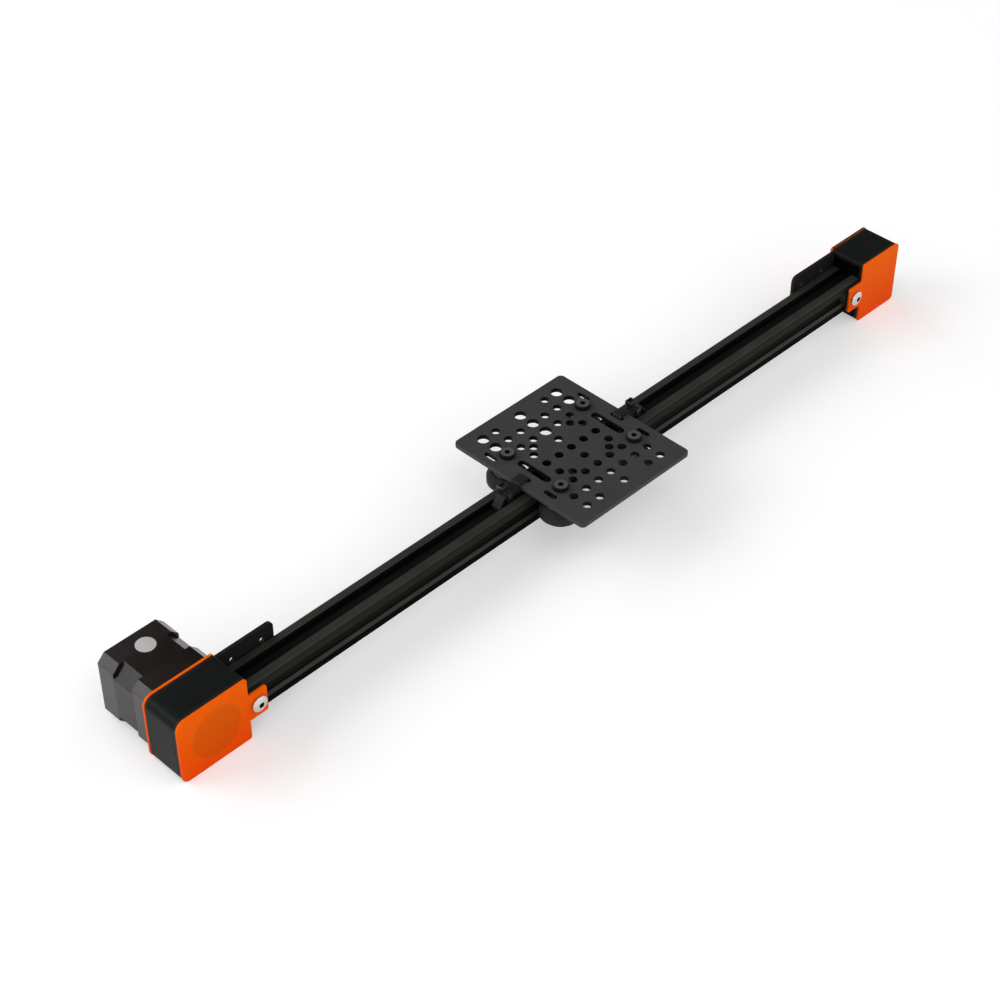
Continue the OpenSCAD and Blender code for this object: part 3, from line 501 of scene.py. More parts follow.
PIN_GOLD = Finish(
    "pin_gold", "bright_steel", (0.83, 0.62, 0.28), 0.25, scale=3000.0, depth=2e-6, tint=0.05,
    metallic=1.0, rub_and_highlight_colour=(0.9, 0.75, 0.4))


# ---------- shaping and placing ----------


def merged_copy(node: str, choose: Callable[[Face], int] | None = None) -> Mesh:
    """Copies a node's solids, with their triangles joined into whole faces.

    Args:
        node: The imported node.
        choose: Gives each face's material number; they are all 0 without it.

    Returns:
        The copy.
    """
    bm = bmesh.new()
    bm.from_mesh(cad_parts[node].data)
    bmesh.ops.remove_doubles(bm, verts=bm.verts, dist=WELD)
    bmesh.ops.dissolve_limit(bm, angle_limit=FLAT_ANGLE, verts=bm.verts, edges=bm.edges)
    for face in bm.faces:
        face.material_index = int(choose(face)) if choose else 0
    return bm


def add_object(name: str, data: bpy.types.ID) -> bpy.types.Object:
    """Adds an object to the scene.

    Args:
        name: Its name.
        data: Its mesh, light or camera.

    Returns:
        The object.
    """
    made = bpy.data.objects.new(name, data)
    bpy.context.scene.collection.objects.link(made)
    return made


def place_piece(name: str, bm: Mesh, body: str, finishes: Sequence[Finish],
                stands_for: Sequence[str] = (), edge: float = 0.0, segments: int = 2) -> None:
    """Turns a finished mesh into a piece of the object.

    Args:
        name: Name of the piece.
        bm: Its mesh, which is used up.
        body: The body that it moves with.
        finishes: Its finishes, in the order of the faces' material numbers.
        stands_for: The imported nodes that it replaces.
        edge: Width of the rounding on its sharp edges.
        segments: Steps of that rounding.
    """
    mesh = bpy.data.meshes.new(name)
    bm.to_mesh(mesh)
    bm.free()
    stored = mesh.attributes.get("custom_normal")
    if stored:
        mesh.attributes.remove(stored)
    for finish in finishes:
        mesh.materials.append(finish.material())
    mesh.shade_smooth()
    piece = add_object(name, mesh)
    if edge:
        rounding = piece.modifiers.new("rounding", "BEVEL")
        rounding.width = edge
        rounding.segments = segments
        rounding.limit_method = "ANGLE"
        rounding.angle_limit = EDGE_ANGLE
        rounding.use_clamp_overlap = False
        rounding.harden_normals = True
    else:
        mesh.set_sharp_from_angle(angle=SMOOTH_ANGLE)
    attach(piece, body)
    if stands_for:
        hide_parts(*stands_for)
    LOG.info("%s on %s, %d faces", name, body, len(mesh.polygons))


def round_off(name: str, node: str, body: str, finish: Finish, edge: float, segments: int = 2) -> None:
    """Replaces a node by a copy of its solid with rounded edges."""
    place_piece(name, merged_copy(node), body, [finish], [node], edge, segments)


def dress(finish: Finish, *nodes: str) -> None:
    """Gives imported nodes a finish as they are.

    Args:
        finish: The finish.
        nodes: The nodes that get it.
    """
    for node in nodes:
        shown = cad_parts[node]
        shown.data.materials.clear()
        shown.data.materials.append(finish.material())
        LOG.info("%s dressed in %s", node, finish.name)


def shade_recesses(bm: Mesh, axis: int, radius: float, finish: int) -> None:
    """Paints shade, a near-black finish, into the faces near each screw's axis, where the driver's recess
    is.

    Args:
        bm: The screws, as separate solids.
        axis: The screws' axis: 0, 1 or 2.
        radius: How far from its axis a recess reaches.
        finish: The material number of that painted shade.
    """
    left = set(bm.faces)
    while left:
        solid = [left.pop()]
        for face in solid:
            near = {f for e in face.edges for f in e.link_faces} & left
            left -= near
            solid.extend(near)
        places = [v.co for face in solid for v in face.verts]
        middle = Vector([(min(p[i] for p in places) + max(p[i] for p in places)) / 2
                         for i in range(3)])
        for face in solid:
            offsets = [v.co - middle for v in face.verts]
            for offset in offsets:
                offset[axis] = 0.0
            if max(offset.length for offset in offsets) < radius:
                face.material_index = finish


def spun_ring(profile: Path, centre: Vector, steps: int = 96) -> Mesh:
    """Spins a closed profile into an upright ring.

    Args:
        profile: Points of radius and height.
        centre: Middle of the ring.
        steps: Steps round the ring.

    Returns:
        The ring's mesh.
    """
    bm = bmesh.new()
    points = [bm.verts.new((r, 0.0, z)) for r, z in profile]
    rim = [bm.edges.new(pair) for pair in zip(points, points[1:] + points[:1])]
    bmesh.ops.spin(bm, geom=points + rim, cent=(0, 0, 0), axis=(0, 0, 1), dvec=(0, 0, 0),
                   angle=FULL_TURN, steps=steps, use_merge=True, use_duplicate=False)
    bmesh.ops.remove_doubles(bm, verts=bm.verts, dist=WELD)
    bmesh.ops.recalc_face_normals(bm, faces=bm.faces)
    bmesh.ops.translate(bm, vec=centre, verts=bm.verts)
    return bm


def join(into: Mesh, other: Mesh, finish: int | None = None) -> None:
    """Adds another mesh to a mesh and frees it.

    Args:
        into: The mesh that grows.
        other: The mesh that is used up.
        finish: A material number for its faces, which keep their own without it.
    """
    if finish is not None:
        for face in other.faces:
            face.material_index = finish
    carrier = bpy.data.meshes.new("carrier")
    other.to_mesh(carrier)
    other.free()
    into.from_mesh(carrier)
    bpy.data.meshes.remove(carrier)


def soften(bm: Mesh, edges: Sequence[bmesh.types.BMEdge], width: float, segments: int = 2) -> None:
    """Rounds the given edges of a mesh."""
    bmesh.ops.bevel(bm, geom=edges, offset=width, offset_type="OFFSET", segments=segments,
                    profile=0.5, affect="EDGES", material=-1, clamp_overlap=True)


def extrude(bm: Mesh, way: tuple[float, float, float]) -> None:
    """Turns a flat mesh into a closed solid.

    Args:
        bm: The flat mesh.
        way: How far it is extruded along each axis.
    """
    grown = bmesh.ops.extrude_face_region(bm, geom=bm.faces[:])
    far = [v for v in grown["geom"] if isinstance(v, bmesh.types.BMVert)]
    bmesh.ops.translate(bm, vec=way, verts=far)
    bmesh.ops.recalc_face_normals(bm, faces=bm.faces)


def block(low: Vector, high: Vector, edge: float = 0.0, segments: int = 2) -> Mesh:
    """Builds a block.

    Args:
        low: Its lowest corner.
        high: Its highest corner.
        edge: Width of the rounding on its edges.
        segments: Steps of that rounding.

    Returns:
        The block's mesh.
    """
    bm = bmesh.new()
    bmesh.ops.create_cube(bm, size=1.0)
    bmesh.ops.scale(bm, vec=high - low, verts=bm.verts)
    bmesh.ops.translate(bm, vec=(low + high) / 2, verts=bm.verts)
    if edge:
        soften(bm, bm.edges[:], edge, segments)
    return bm


# ---------- sub-assemblies ----------


@dataclass
class Rail:
    """The slotted rail and what is screwed to its slots."""

    edge: float = 0.14 * MM
    screw_edge: float = 0.22 * MM
    recess: float = 1.9 * MM
    mouth: float = 5.6 * MM
    slot_floor: float = 3.5 * MM
    upward: float = 0.6

    def build(self) -> None:
        """Builds the rail and its fasteners."""
        # Painted shade: the rail's faces that don't look up are darker, and its upper slot and low lips are
        # black.
        place_piece("rail_profile", merged_copy("rail", self.shade), "frame",
                    [BLACK_ANODISED, SHADED_SIDE_ANODISED, SLOT_SHADE_ANODISED], ["rail"], self.edge)
        # Painted shade in the button screws' recesses.
        buttons = merged_copy("tab_screws")
        shade_recesses(buttons, 1, self.recess, 1)
        place_piece("tab_button_screws", buttons, "frame", [BRIGHT_STEEL, RECESS_SHADE_STEEL],
                    ["tab_screws"], self.screw_edge, 3)
        round_off("bracket_button_screws", "bracket_screws", "frame", BLACK_STEEL, self.screw_edge, 3)
        dress(ZINC_STEEL, "slot_nuts")

    def shade(self, face: Face) -> int:
        """Chooses a finish with painted shade: palest on upward outer faces, darker on the other faces,
        black in the upper slot and on the low lips.

        Args:
            face: A face of the rail.

        Returns:
            The material number.
        """
        centre = face.calc_center_median()
        outside = abs(centre.y) > self.mouth
        if face.normal.z > self.upward and outside:
            return 0
        in_upper_slot = centre.z > self.slot_floor and not outside
        low_lip = centre.z < -self.mouth and abs(face.normal.y) > SQUARE_ON
        return 2 if in_upper_slot or low_lip else 1


@dataclass
class EndHousing:
    """One end housing: coloured plates, black frames, shell and posts, with painted shade where asked on
    the front plate and on the rear plate's top rim, and always in the shell's mouth.
    """

    end: str
    front_coat: Finish = ORANGE_COAT
    rim_shade_coat: Finish = ORANGE_COAT
    plate_edge: float = 0.22 * MM
    shell_edge: float = 0.15 * MM

    def build(self) -> None:
        """Builds the housing."""
        end = self.end
        round_off(f"{end}_front_coloured_plate", f"{end}_front_plate", "frame", self.front_coat,
                  self.plate_edge)
        # Painted shade on the rear plate's upward faces, where a darker rim coat is given.
        shaded_rim = self.rim_shade_coat is not ORANGE_COAT
        rear = merged_copy(f"{end}_rear_plate", lambda face: shaded_rim and face.normal.z > SQUARE_ON)
        place_piece(f"{end}_rear_coloured_plate", rear, "frame", [ORANGE_COAT, self.rim_shade_coat][:1 + shaded_rim],
                    [f"{end}_rear_plate"], self.plate_edge)
        for side in ("front", "rear"):
            round_off(f"{end}_{side}_black_frame", f"{end}_{side}_frame", "frame", BLACK_COAT,
                      self.plate_edge)
        # The faces that look along the rail get the mouth's painted shade.
        place_piece(f"{end}_shell", merged_copy(f"{end}_cover", self.faces_rail), "frame",
                    [BLACK_SHELL, SHELL_MOUTH_SHADE], [f"{end}_cover"], self.shell_edge, 3)
        dress(ZINC_STEEL, f"{end}_posts")

    def faces_rail(self, face: Face) -> bool:
        """Tells whether a face looks along the rail toward its middle."""
        return -face.normal.x * math.copysign(1.0, face.calc_center_median().x) > SQUARE_ON


@dataclass
class StackSheets:
    """The motor's stack of thin steel sheets between its caps."""

    pitch: float = 0.5 * MM
    gap: float = 0.06 * MM

    def sheet(self, source: Mesh, low: float, high: float) -> Mesh:
        """Cuts one sheet out of the stack.

        Args:
            source: The whole stack.
            low: Where the sheet starts along Y.
            high: Where it ends.

        Returns:
            The sheet's mesh.
        """
        bm = source.copy()
        for y, side in ((low, -1.0), (high, 1.0)):
            cut = bmesh.ops.bisect_plane(bm, geom=bm.verts[:] + bm.edges[:] + bm.faces[:], dist=WELD,
                                         plane_co=(0, y, 0), plane_no=(0, side, 0), clear_outer=True)
            rim = [e for e in cut["geom_cut"] if isinstance(e, bmesh.types.BMEdge)]
            if rim:
                bmesh.ops.triangle_fill(bm, edges=rim, use_beauty=True, normal=(0, side, 0))
        return bm

    def build(self) -> None:
        """Builds the stack sheet by sheet."""
        low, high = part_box("motor_stator")
        source = merged_copy("motor_stator")
        count = round((high.y - low.y) / self.pitch)
        step = (high.y - low.y) / count
        stack = bmesh.new()
        for i in range(count):
            start = low.y + i * step
            join(stack, self.sheet(source, start + self.gap / 2, start + step - self.gap / 2))
        source.free()
        place_piece("motor_stack_sheets", stack, "frame", [MOTOR_SHEETS], ["motor_stator"])


@dataclass
class CableSocket:
    """The motor's cable socket with its row of pins."""

    pins: int = 6
    pitch: float = 2.0 * MM
    thickness: float = 0.5 * MM
    reach: float = 5.2 * MM
    floor: float = 1.4 * MM
    body_edge: float = 0.15 * MM
    pin_edge: float = 0.1 * MM

    def build(self) -> None:
        """Builds the socket's body and its pins."""
        round_off("motor_socket_body", "motor_socket", "frame", SOCKET_RESIN, self.body_edge)
        low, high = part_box("motor_socket")
        middle = (low + high) / 2
        row = bmesh.new()
        half = self.thickness / 2
        for i in range(self.pins):
            z = middle.z + (i - (self.pins - 1) / 2) * self.pitch
            start = Vector((low.x + self.floor, middle.y - half, z - half))
            end = Vector((low.x + self.floor + self.reach, middle.y + half, z + half))
            join(row, block(start, end, self.pin_edge, 1))
        place_piece("motor_socket_pins", row, "frame", [PIN_GOLD])


@dataclass
class Motor:
    """The stepper motor behind the drive end."""

    cap_edge: float = 0.18 * MM
    screw_edge: float = 0.15 * MM
    label_radius: float = 5.5 * MM
    label_thickness: float = 0.035 * MM
    label_edge: float = 0.0245 * MM
    label_inset: float = 11.0 * MM
    label_shift: float = 1.5 * MM
    label_gap: float = 0.004 * MM

    def build(self) -> None:
        """Builds the motor."""
        for side in ("front", "rear"):
            round_off(f"motor_cap_{side}", f"motor_{side}_cap", "frame", MOTOR_CAST, self.cap_edge, 3)
        StackSheets().build()
        round_off("motor_tie_bolts", "motor_tie_screws", "frame", ZINC_STEEL, self.screw_edge)
        dress(ZINC_STEEL, "motor_mount_screws")
        dress(BRIGHT_STEEL, "motor_bearings")
        CableSocket().build()
        self.label()

    def label(self) -> None:
        """Builds the bare round label on top of the motor."""
        low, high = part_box("motor_rear_cap")
        bm = bmesh.new()
        bmesh.ops.create_circle(bm, cap_ends=True, segments=96, radius=self.label_radius)
        extrude(bm, (0, 0, self.label_thickness))
        rim = [e for e in bm.edges if all(v.co.z > self.label_thickness / 2 for v in e.verts)]
        soften(bm, rim, self.label_edge)
        centre = Vector(((low.x + high.x) / 2 + self.label_shift, high.y - self.label_inset,
                         high.z + self.label_gap))
        bmesh.ops.translate(bm, vec=centre, verts=bm.verts)
        place_piece("motor_round_label", bm, "frame", [LABEL_PAPER])


@dataclass
class Drive:
    """The pulleys at both ends, with the shaft and the axle that carry them."""

    edge: float = 0.12 * MM
    head_edge: float = 0.2 * MM

    def build(self) -> None:
        """Builds the drive's and the idler's turning parts."""
        round_off("drive_toothed_pulley", "drive_pulley", "drive", PULLEY_ALLOY, self.edge)
        round_off("drive_shaft", "motor_shaft", "drive", BRIGHT_STEEL, self.edge)
        round_off("idler_toothed_pulley", "idler_pulley", "idler", PULLEY_ALLOY, self.edge)
        round_off("idler_axle_screw", "idler_axle", "frame", BRIGHT_STEEL, self.head_edge, 3)
        dress(ZINC_STEEL, "motor_rotor", "post_screws")
        dress(BLACK_STEEL, "pulley_set_screws")
        dress(BRIGHT_STEEL, "idler_spacers", "idler_bearings")


@dataclass
class ToothedBelt:
    """The belt's loop, with teeth on the inner side of its straight runs."""

    pitch: float = 2.0 * MM
    tooth_radius: float = 0.56 * MM
    tooth_height: float = 0.75 * MM
    back: float = 0.63 * MM
    clear_of_axle: float = 5.0 * MM

    def tooth(self, width: float) -> Mesh:
        """Builds one rounded tooth, which hangs below z = 0.

        Args:
            width: Width of the belt.

        Returns:
            The tooth's mesh.
        """
        bm = bmesh.new()
        bmesh.ops.create_circle(bm, cap_ends=True, segments=10, radius=self.tooth_radius,
                                matrix=Matrix.Rotation(math.pi / 2, 4, "X"))
        bmesh.ops.translate(bm, vec=(0, -width / 2, self.tooth_radius - self.tooth_height),
                            verts=bm.verts)
        extrude(bm, (0, width, 0))
        return bm

    def add_teeth(self, bm: Mesh, width: float, places: Sequence[Matrix]) -> None:
        """Adds a tooth at each place to a mesh.

        Args:
            bm: The mesh.
            width: Width of the belt.
            places: Where each tooth goes.
        """
        pattern = self.tooth(width)
        for place in places:
            copy = pattern.copy()
            bmesh.ops.transform(copy, matrix=place, verts=copy.verts)
            join(bm, copy)
        pattern.free()

    def build(self) -> None:
        """Builds the loop."""
        low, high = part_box("belt")
        inner = high.z - self.back
        start = low.x + high.z + self.clear_of_axle
        end = high.x - high.z - self.clear_of_axle
        places = []
        for i in range(int((end - start) / self.pitch) + 1):
            x = start + i * self.pitch
            places.append(Matrix.Translation((x, 0, inner)))
            places.append(Matrix.Translation((x, 0, -inner)) @ Matrix.Rotation(math.pi, 4, "X"))
        loop = merged_copy("belt")
        self.add_teeth(loop, high.y - low.y, places)
        place_piece("toothed_belt_loop", loop, "frame", [SHADED_BELT_RUBBER], ["belt"])


@dataclass
class Wheel:
    """A V wheel between two bearings."""

    node: str
    seat: float = 8.05 * MM
    collar: float = 8.95 * MM
    collar_step: float = 0.4 * MM
    tip: float = 5.1 * MM
    rib: float = 7.0 * MM
    rib_half: float = 0.45 * MM
    groove: float = 0.25 * MM
    shoulder_in: float = 0.1 * MM
    shoulder_out: float = 0.15 * MM
    shoulder_drop: float = 0.12 * MM
    rim_in: float = 0.4 * MM
    rim_drop: float = 0.45 * MM
    edge: float = 0.08 * MM

    def section(self, radius: float, half: float) -> Path:
        """Draws the wheel's section.

        Args:
            radius: The wheel's radius.
            half: Half of its width.

        Returns:
            The closed outline, as points of radius and height.
        """
        face = half - self.collar_step
        tip = self.tip / 2
        shoulder = radius - (half - tip)
        middle = (self.collar + shoulder) / 2
        upper: Path = [
            (self.seat, half), (self.collar, half), (self.collar, face),
            (middle - self.groove, face), (middle, face - self.groove), (middle + self.groove, face),
            (shoulder - self.shoulder_in, face),
            (shoulder + self.shoulder_out, face - self.shoulder_drop), (radius - self.rim_in, tip),
            (radius - self.rim_in / 4, tip - self.rim_drop / 3), (radius, tip - self.rim_drop)]
        rib = [(self.seat, -self.rib_half), (self.rib, -self.rib_half),
               (self.rib, self.rib_half), (self.seat, self.rib_half)]
        return upper + [(x, -z) for x, z in reversed(upper)] + rib

    def build(self) -> None:
        """Builds the wheel by spinning its section."""
        low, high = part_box(self.node)
        ring = spun_ring(self.section((high.x - low.x) / 2, (high.z - low.z) / 2), (low + high) / 2)
        place_piece(f"{self.node}_tyre", ring, self.node, [WHEEL_RESIN], [self.node], self.edge)


@dataclass
class WheelBearings:
    """The two sealed bearings in each wheel."""

    outer: float = 8.0 * MM
    inner: float = 2.55 * MM
    race: float = 1.35 * MM
    sunk: float = 0.25 * MM
    width: float = 5.0 * MM
    first: float = 0.5 * MM
    lip: float = 0.12 * MM
    dip: float = 0.18 * MM
    steps: int = 64

    def bearing(self, centre: Vector) -> Mesh:
        """Builds one bearing: two races and a seal that sits a little deeper.

        Args:
            centre: Its middle.

        Returns:
            The bearing's mesh, with the seal's faces as material 1.
        """
        h, lip = self.width / 2, self.lip
        bm = bmesh.new()
        for a, b in ((self.inner, self.inner + self.race), (self.outer - self.race, self.outer)):
            section = [(a, -h + lip), (a + lip, -h), (b - lip, -h), (b, -h + lip),
                       (b, h - lip), (b - lip, h), (a + lip, h), (a, h - lip)]
            join(bm, spun_ring(section, centre, self.steps))
        a, b, s = self.inner + self.race, self.outer - self.race, h - self.sunk
        middle, dip = (a + b) / 2, s - self.dip
        seal = [(a, -s), (middle, -dip), (b, -s), (b, s), (middle, dip), (a, s)]
        join(bm, spun_ring(seal, centre, self.steps), 1)
        return bm

    def build(self, wheels: Sequence[str]) -> None:
        """Builds the bearings of all wheels.

        Args:
            wheels: The wheels' nodes.
        """
        bm = bmesh.new()
        for wheel in wheels:
            low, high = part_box(wheel)
            for side in (-1, 1):
                off = Vector((0, 0, side * (self.first + self.width / 2)))
                join(bm, self.bearing((low + high) / 2 + off))
        place_piece("wheel_sealed_bearings", bm, "carriage", [SHADED_RACE_STEEL, SEAL_RUBBER],
                    ["wheel_bearings"])


@dataclass
class Carriage:
    """The carriage plate on its wheels."""

    plate_edge: float = 0.28 * MM
    screw_edge: float = 0.2 * MM
    small_edge: float = 0.15 * MM
    recess: float = 1.9 * MM
    border: float = 1.2 * MM
    steep: float = 0.5
    wheels: Sequence[str] = ("wheel_front_left", "wheel_front_right", "wheel_back_left",
                             "wheel_back_right")

    def build(self) -> None:
        """Builds the plate, its wheels and their hardware."""
        self.plate()
        # Painted shade: every face of the screws but their tops, and their recesses, is near black.
        screws = merged_copy("wheel_screws", lambda face: face.normal.z <= SQUARE_ON)
        shade_recesses(screws, 2, self.recess, 1)
        place_piece("wheel_low_head_screws", screws, "carriage", [BLACK_STEEL, RECESS_SHADE_STEEL],
                    ["wheel_screws"], self.screw_edge, 3)
        for name, node, finish in (("wheel_plain_spacers", "plain_spacers", SHADED_ALLOY),
                                   ("wheel_hex_spacers", "eccentric_spacers", ZINC_STEEL),
                                   ("wheel_lock_nuts", "lock_nuts", ZINC_STEEL)):
            round_off(name, node, "carriage", finish, self.small_edge)
        dress(ZINC_STEEL, "wheel_shims")
        for wheel in self.wheels:
            Wheel(wheel).build()
        WheelBearings().build(self.wheels)

    def plate(self) -> None:
        """Builds the plate, with its holes and slots painted blacker inside than outside as shade."""
        low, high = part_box("carriage_plate")

        def in_hole(face: Face) -> bool:
            """Tells whether a face is a wall of a hole or a slot."""
            centre = face.calc_center_median()
            border = min(centre.x - low.x, high.x - centre.x, centre.y - low.y, high.y - centre.y)
            return abs(face.normal.z) < self.steep and border > self.border

        place_piece("carriage_hole_plate", merged_copy("carriage_plate", in_hole), "carriage",
                    [PLATE_ANODISED, RECESS_SHADE_STEEL], ["carriage_plate"], self.plate_edge)


@dataclass
class BeltEnds:
    """The belt's two ends: looped over the carriage plate's edge and tied to themselves."""

    belt: ToothedBelt
    slot_inset: float = 6.0 * MM
    tie_out: float = 8.5 * MM
    tail: float = 2.5 * MM
    drop: float = 3.2 * MM
    rest: float = 1.5 * MM
    thickness: float = 1.38 * MM
    room: float = 0.1 * MM
    play: float = 0.05 * MM
    edge_room: float = 0.15 * MM
    above_run: float = 0.3 * MM
    bend: float = 1.0 * MM

    def route(self) -> Path:
        """Returns the end's middle line in X and Z, from its free end to the rail, on the side of +X."""
        low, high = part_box("carriage_plate")
        half = self.thickness / 2
        under = low.z - half - self.room
        over = high.z + half + self.room
        joined = under + self.thickness + self.play
        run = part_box("belt")[1].z + self.above_run + half
        slot = high.x - self.slot_inset
        edge = high.x + half + self.edge_room
        end = high.x + self.tie_out + self.tail
        fall = end + self.rest
        return rounded([(end, under), (slot, under), (slot, over), (edge, over), (edge, joined),
                        (fall, joined), (fall + self.drop, run), (fall + self.drop + self.rest, run)],
                       self.bend)

    def strip(self, width: float) -> Mesh:
        """Builds the end on the side of +X: its smooth back and the teeth on its inner side.

        Args:
            width: Width of the belt.

        Returns:
            The end's mesh.
        """
        route = self.route()
        outer = shifted(route, self.thickness / 2)
        inner = shifted(route, self.thickness / 2 - self.belt.back)
        bm = bmesh.new()
        bm.faces.new([bm.verts.new((x, -width / 2, z)) for x, z in outer + inner[::-1]])
        extrude(bm, (0, width, 0))
        self.belt.add_teeth(bm, width, spots(inner, self.belt.pitch))
        return bm

    def build(self) -> None:
        """Builds both ends and their ties."""
        low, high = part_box("belt_ends")
        both = self.strip(high.y - low.y)
        join(both, mirrored(both))
        place_piece("belt_end_loops", both, "carriage", [BELT_BACK], ["belt_ends"])
        CableTies(self.tie_out).build()


def mirrored(bm: Mesh) -> Mesh:
    """Copies a mesh to the other side of x = 0.

    Args:
        bm: The mesh, which stays as it is.

    Returns:
        The copy.
    """
    copy = bm.copy()
    bmesh.ops.scale(copy, vec=(-1, 1, 1), verts=copy.verts)
    bmesh.ops.recalc_face_normals(copy, faces=copy.faces)
    return copy


def rounded(corners: Path, radius: float, steps: int = 6) -> Path:
    """Rounds the corners of a path.

    Args:
        corners: The path's two ends and the corners between them.
        radius: How far from a corner its rounding starts, or half its shorter side.
        steps: Steps round a corner.

    Returns:
        The rounded path.
    """
    path = [corners[0]]
    for before, corner, after in zip(corners, corners[1:], corners[2:]):
        a, p, b = Vector(before), Vector(corner), Vector(after)
        start = p + (a - p).normalized() * min(radius, (a - p).length / 2)
        end = p + (b - p).normalized() * min(radius, (b - p).length / 2)
        for i in range(steps + 1):
            t = i / steps
            path.append(tuple(start * (1 - t) ** 2 + p * 2 * t * (1 - t) + end * t ** 2))
    return path + [corners[-1]]


def shifted(path: Path, by: float) -> Path:
    """Moves a path sideways.

    Args:
        path: The path.
        by: How far to its left.

    Returns:
        The moved path.
    """
    moved = []
    for i, (x, z) in enumerate(path):
        before = path[max(i - 1, 0)]
        after = path[min(i + 1, len(path) - 1)]
        run = Vector((after[0] - before[0], after[1] - before[1])).normalized()
        moved.append((x - run.y * by, z + run.x * by))
    return moved


def spots(path: Path, pitch: float) -> list[Matrix]:
    """Finds a place for a tooth at each pitch along a path in X and Z, to the path's right.

    Args:
        path: The path.
        pitch: The distance between teeth.

    Returns:
        The places.
    """
    places = []
    along = pitch / 2
    for (x, z), (u, w) in zip(path, path[1:]):
        run = Vector((u - x, 0, w - z))
        length = run.length
        while along <= length and length > 0:
            at = Vector((x, 0, z)) + run * (along / length)
            ahead, across = run.normalized(), Vector((0, 1, 0))
            turn = Matrix((ahead, across, ahead.cross(across))).transposed().to_4x4()
            places.append(Matrix.Translation(at) @ turn)
            along += pitch
        along -= length
    return places


@dataclass
class CableTies:
    """The two ties that hold the belt's ends to themselves."""

    out: float
    width: float = 3.6 * MM
    wall: float = 1.0 * MM
    head_length: float = 5.0 * MM
    head_width: float = 4.5 * MM
    head_height: float = 3.0 * MM
    sunk: float = 0.3 * MM
    edge: float = 0.45 * MM
    rim: float = 1.0 * MM
    strap_edge: float = 0.25 * MM
    stub_share: float = 0.8
    stub_edge: float = 0.15 * MM
    stub_below: float = 0.05 * MM

    def band(self, low: Vector, high: Vector) -> Mesh:
        """Builds the strap round the belt: a square tube along X with rounded edges.

        Args:
            low: Its lowest corner.
            high: Its highest corner.

        Returns:
            The strap's mesh.
        """
        bm = block(low, high)
        ends = [f for f in bm.faces if abs(f.normal.x) > SQUARE_ON]
        bmesh.ops.inset_individual(bm, faces=ends, thickness=self.wall)
        inside = list({e for f in ends for e in f.edges})
        bmesh.ops.delete(bm, geom=ends, context="FACES_ONLY")
        bmesh.ops.bridge_loops(bm, edges=inside)
        bmesh.ops.recalc_face_normals(bm, faces=bm.faces)
        soften(bm, bm.edges[:], self.strap_edge)
        return bm

    def head(self, low: Vector, high: Vector) -> Mesh:
        """Builds the square head with the pocket that its strap comes through.

        Args:
            low: Its lowest corner.
            high: Its highest corner.

        Returns:
            The head's mesh.
        """
        bm = block(low, high, self.edge, 3)
        level = [f for f in bm.faces if f.normal.z > SQUARE_ON]
        top = max(level, key=lambda face: face.calc_area())
        bmesh.ops.inset_individual(bm, faces=[top], thickness=self.rim - self.edge)
        pocket = bmesh.ops.extrude_discrete_faces(bm, faces=[top])["faces"]
        bmesh.ops.translate(bm, vec=(0, 0, -self.head_height / 2),
                            verts=[v for f in pocket for v in f.verts])
        return bm

    def build(self) -> None:
        """Builds both ties, each with the end of its strap in the head's pocket."""
        low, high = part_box("belt_ties")
        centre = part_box("carriage_plate")[1].x + self.out
        floor = high.z - self.head_height
        inner = high.y - self.head_width
        half, half_head = self.width / 2, self.head_length / 2
        tie = self.band(Vector((centre - half, low.y, low.z)),
                        Vector((centre + half, -low.y, floor + self.sunk)))
        join(tie, self.head(Vector((centre - half_head, inner, floor)),
                            Vector((centre + half_head, high.y, high.z))))
        half_stub, depth = half * self.stub_share, self.head_height / 2
        stub = Vector((centre - half_stub, inner + self.rim, floor + depth))
        size = Vector((2 * half_stub, self.wall, depth - self.stub_below))
        join(tie, block(stub, stub + size, self.stub_edge))
        join(tie, mirrored(tie))
        place_piece("belt_cable_ties", tie, "carriage", [TIE_RESIN], ["belt_ties"])


# ---------- floor, lamps and camera ----------


def hung(name: str, data: bpy.types.ID, azimuth: float, elevation: float) -> bpy.types.Object:
    """Adds a lamp or a camera that looks along the line from a direction to the middle.

    Args:
        name: Its name.
        data: The lamp or the camera.
        azimuth: The direction's angle from +Y toward +X, in degrees.
        elevation: Its angle above the floor, in degrees.

    Returns:
        The object, at a distance of 1 m.
    """
    a, e = math.radians(azimuth), math.radians(elevation)
    made = add_object(name, data)
    made.location = (math.sin(a) * math.cos(e), math.cos(a) * math.cos(e), math.sin(e))
    made.rotation_mode = "QUATERNION"
    made.rotation_quaternion = (-made.location).to_track_quat("-Z", "Y")
    return made


@dataclass(frozen=True)
class SoftLamp:
    """A square lamp that points at the object's middle; its angles are those of hung."""

    name: str
    azimuth: float
    elevation: float
    power: float
    reach: float = 2.2
    size: float = 1.2

    def hang(self) -> None:
        """Adds the lamp to the scene."""
        data = bpy.data.lights.new(self.name, "AREA")
        data.shape = "SQUARE"
        data.size = self.size
        data.energy = self.power
        hung(self.name, data, self.azimuth, self.elevation).location *= self.reach


